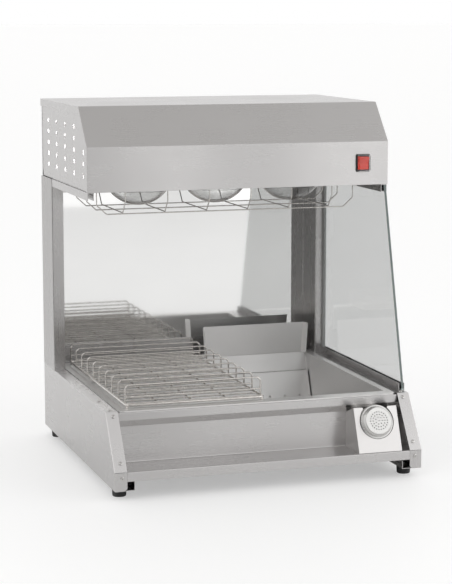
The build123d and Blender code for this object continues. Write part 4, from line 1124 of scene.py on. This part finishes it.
bezel_corner = 0.0024
bezel_edge = 0.0007
housing_half = (0.0135, 0.016)
housing_wall = 0.0016
opening_corner = 0.0008
opening_edge = 0.0004
cover_wall = 0.0009
low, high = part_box("switch_frame")
half_w, half_h = (high.x - low.x) / 2, (high.z - low.z) / 2
switch_place = Vector(((low.x + high.x) / 2, low.y, (low.z + high.z) / 2))
hood_front = cover_low.y - low.y
room_w, room_h = housing_half[0] - housing_wall, housing_half[1] - housing_wall
end = high.y - low.y
frame_piece = boxed_mesh("moulded_bezel", [
    (room_w, room_h, opening_corner, end - housing_wall),
    (room_w, room_h, opening_corner, opening_edge),
    (room_w + opening_edge, room_h + opening_edge, 0.001, 0),
    (half_w - bezel_edge, half_h - bezel_edge, bezel_corner - bezel_edge, 0),
    (half_w, half_h, bezel_corner, bezel_edge),
    (half_w, half_h, bezel_corner, hood_front),
    (*housing_half, opening_corner, hood_front),
    (*housing_half, opening_corner, end),
], switch_place)
dress("moulded_bezel", shade(frame_piece), black_plastic, "cabinet", "black_plastic",
      "switch_frame")
# The rocker's faint red emission is a painted glow that brightens its red.
red_plastic = dusty_material("red_rocker", (0.90, 0.030, 0.008, 1), (0.75, 0.09, 0.05, 1), 0.18,
                             90.0, 0.2, Coat_Weight=0.5, Emission_Color=(1.0, 0.06, 0.015, 1),
                             Emission_Strength=0.12)
finish(red_plastic, "switch_rocker")
cover_plastic, tree, shader = new_material("clear_cover", Transmission_Weight=1.0, IOR=1.4,
                                           Roughness=0.06)
feed(tree, shader, Base_Color=ramp(tree, noise(tree, 120.0, 2.0), 0.3, 0.7, (0.92, 0.92, 0.92, 1),
                                   (0.98, 0.98, 0.98, 1)))
low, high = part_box("switch_cover")
cover_w, cover_h, cover_depth = (high.x - low.x) / 2, (high.z - low.z) / 2, high.y - low.y
cover_line = ((0.0, 0.0028, 0.0), (0.0001, 0.0028, 0.0055), (0.0006, 0.0032, 0.0075),
              (0.0016, 0.0036, cover_depth - 0.0004), (0.0032, 0.0040, cover_depth))
outside = [(cover_w - inset, cover_h - inset, corner, -reach)
           for inset, corner, reach in cover_line]
inside = [(width - cover_wall, height - cover_wall, radius - cover_wall, min(0, depth + cover_wall))
          for width, height, radius, depth in outside]
cover = boxed_mesh("splash_cover", inside[::-1] + outside,
                   Vector((switch_place.x, high.y, switch_place.z)))
dress("splash_cover", shade(cover), cover_plastic, "cabinet", "clear_plastic", "switch_cover")

# ---- Wire rack ------------------------------------------------------------------------------------
# A lift-out rack for filled cartons, welded from plated wire: a rod frame on four short feet, floor
# wires across it, three runners under them, and ten divider loops with a wire at half height.
rack_rod = 0.0027
rack_wire = 0.0016
rack_corner = 0.009
loop_corner = 0.006
loop_inset = 0.002
loop_count = 10
loop_pitch = 0.053
loop_height = 0.045
mid_height = 0.021
frame_height = 0.007
runner_inset = 0.0107    # from the frame's front and rear wires
runner_count = 3

low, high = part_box("wire_rack")
left, right = low.x + rack_rod, high.x - rack_rod
front, rear = low.y + rack_rod, high.y - rack_rod
frame_z = deck_z + frame_height
parts = [wires([[(left, front, frame_z), (right, front, frame_z), (right, rear, frame_z),
                 (left, rear, frame_z)]], rack_rod, rack_corner, bright_wire, closed=True)]
foot_inset = rack_corner * (1 - 0.5**0.5)
feet_routes = []
for x in (left + foot_inset, right - foot_inset):
    for y in (front + foot_inset, rear - foot_inset):
        feet_routes.append([(x, y, low.z), (x, y, frame_z)])
parts.append(wires(feet_routes, rack_rod, 0.0, bright_wire))
loop_left, loop_right = left + loop_inset, right - loop_inset
top = deck_z + loop_height
parts.append(wires([[
    (loop_left, rear, frame_z), (loop_left, rear, top - loop_corner),
    (loop_left + loop_corner, rear, top), (loop_right - loop_corner, rear, top),
    (loop_right, rear, top - loop_corner), (loop_right, rear, frame_z),
]], rack_wire, loop_corner, bright_wire, loop_count, (0, -loop_pitch, 0)))
mid_z = deck_z + mid_height
parts.append(wires([[(loop_left, rear, mid_z), (loop_right, rear, mid_z)]], rack_wire, 0.0,
                   bright_wire, loop_count, (0, -loop_pitch, 0)))
floor_count = int((rear - front) // (loop_pitch / 2)) + 1
parts.append(wires([[(left, rear, frame_z), (right, rear, frame_z)]], rack_wire, 0.0, bright_wire,
                   floor_count, (0, -loop_pitch / 2, 0)))
runner_step = (right - left) / (runner_count + 1)
runner_z = frame_z - 2 * rack_wire + weld
parts.append(wires([[(left + runner_step, front + runner_inset, runner_z),
                     (left + runner_step, rear - runner_inset, runner_z)]], rack_wire, 0.0,
                   bright_wire, runner_count, (runner_step, 0, 0)))
dress("carton_rack", joined("carton_rack", parts), bright_wire, "rack", "plated_wire", "wire_rack")

# ---- Bay baffle -----------------------------------------------------------------------------------
# A loose folded stop with splayed cheeks stands on the rim behind the open bay.
finish(soft_steel, "bay_baffle")

# ---- Shaker and its holder ------------------------------------------------------------------------
# A turned salt shaker leans in a folded holder on the front shelf. Its lid is spun from bright
# stainless sheet and punched with rings of holes.
holder_tilt = radians(22)
holder_foot = 0.002      # the plate's foot, behind the low front
shaker_up = 0.06371      # the shaker's centre, up the plate
shaker_radius = 0.0355
shaker_back = 0.038
shaker_round = 0.0015
shoulder = 0.001
neck_radius = 0.0305
neck_height = 0.0065
shaker_wall = 0.001
lid_low = 0.0013
lid_radius = 0.032
lid_height = 0.012
lid_wall = 0.0012
disc_radius = 0.0272
lid_rings = ((0.0184, 22), (0.0129, 14), (0.0072, 7), (0.0, 1))
lid_hole = 0.0012
groove_places = (-0.030, -0.0105, -0.0065)   # from the mouth
groove_depth = 0.0006
groove_halves = (0.0009, 0.0004)             # of its mouth and its floor
body_play = 0.0002
skirt_line = ((0.0004, 0.0), (0.0, 0.0005), (0.0, 0.0022), (0.0006, 0.0030))     # inset, height
crown_line = ((0.0006, 0.0062), (0.0010, 0.0052), (0.0022, 0.0042), (0.0030, 0.0032),
              (0.0031, 0.0016), (0.0036, 0.0005), (0.0042, 0.0))     # inset, depth below the top
inner_line = ((0.0014, 0.0056), (0.0, 0.0066))
disc_drop = 0.0008
disc_seat = (0.0038, 0.0008)
lid_sides = 72

# The holder's steel is painted lighter than the other sheets, for the brighter reflection it shows.
finish(brushed_steel("bright_holder_steel", 2, (0.75, 0.735, 0.725, 1), (0.70, 0.685, 0.675, 1),
                     0.06, duller=0.05), "shaker_holder")
shaker_steel = brushed_steel("turned_shaker_steel", 0, (0.74, 0.735, 0.72, 1),
                             (0.66, 0.655, 0.64, 1), 0.2)
low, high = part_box("salt_shaker_lid")
plate_up = Vector((0, sin(holder_tilt), cos(holder_tilt)))
plate_out = Vector((0, -cos(holder_tilt), sin(holder_tilt)))
seat = Vector(((low.x + high.x) / 2, front_y + holder_foot, shelf_z)) + shaker_up * plate_up
shaker_place = Matrix.Translation(seat) @ Matrix((
    (1, 0, 0), plate_up, plate_out)).transposed().to_4x4()

body_profile = [(0, -shaker_back), (shaker_radius - shaker_round, -shaker_back),
                (shaker_radius, shaker_round - shaker_back)]
mouth, bottom = groove_halves
for groove in groove_places:
    body_profile += [
        (shaker_radius, groove - mouth), (shaker_radius - groove_depth, groove - bottom),
        (shaker_radius - groove_depth, groove + bottom), (shaker_radius, groove + mouth)]
inner = shaker_radius - shaker_wall
body_profile += [
    (shaker_radius, shoulder - shaker_round),
    (shaker_radius - 0.4 * shaker_round, shoulder - 0.0004),
    (shaker_radius - shaker_round, shoulder), (neck_radius, shoulder),
    (neck_radius, shoulder + neck_height), (neck_radius - shaker_wall, shoulder + neck_height),
    (neck_radius - shaker_wall, shoulder - shaker_wall),
    (inner - shaker_round, shoulder - shaker_wall),
    (inner - body_play, shoulder - shaker_wall - shaker_round),
    (inner - body_play, shaker_wall + shaker_round - shaker_back),
    (inner - shaker_round, shaker_wall - shaker_back),
    (0, shaker_wall - shaker_back),
]
shaker = turned_mesh("turned_shaker", body_profile, shaker_place, lid_sides)
dress("turned_shaker", shade(shaker), shaker_steel, "shaker", "bright_stainless",
      "salt_shaker_body")

lid_top = lid_low + lid_height
disc_z = lid_top - disc_drop
inner_radius = lid_radius - lid_wall
rim_profile = [(inner_radius, lid_low)]
rim_profile += [(lid_radius - inset, lid_low + rise) for inset, rise in skirt_line]
rim_profile += [(lid_radius - inset, lid_top - depth) for inset, depth in crown_line]
rim_profile += [(disc_radius, disc_z), (disc_radius, disc_z - lid_wall),
                (inner_radius - disc_seat[0], disc_z - lid_wall - disc_seat[1])]
rim_profile += [(inner_radius - inset, lid_top - depth) for inset, depth in inner_line]
rim_profile.append((inner_radius, lid_low))
rim = turned_mesh("lid_rim", rim_profile, shaker_place, lid_sides)
edge_points = [point.xy for point in round_points(disc_radius * 1.004, lid_sides)]
shake_holes = [(*point.xy, lid_hole) for ring, count in lid_rings
               for point in round_points(ring, count)]
disc = blank_mesh("lid_disc", edge_points, shake_holes, drain_sides, shaker_steel)
disc = face_towards(disc, (0, 0, 1))
disc.transform(shaker_place @ Matrix.Translation((0, 0, disc_z)))
lid = joined("perforated_lid", [rim, thickened(disc, lid_wall * 0.9)])
dress("perforated_lid", shade(lid), shaker_steel, "lid", "bright_stainless", "salt_shaker_lid")
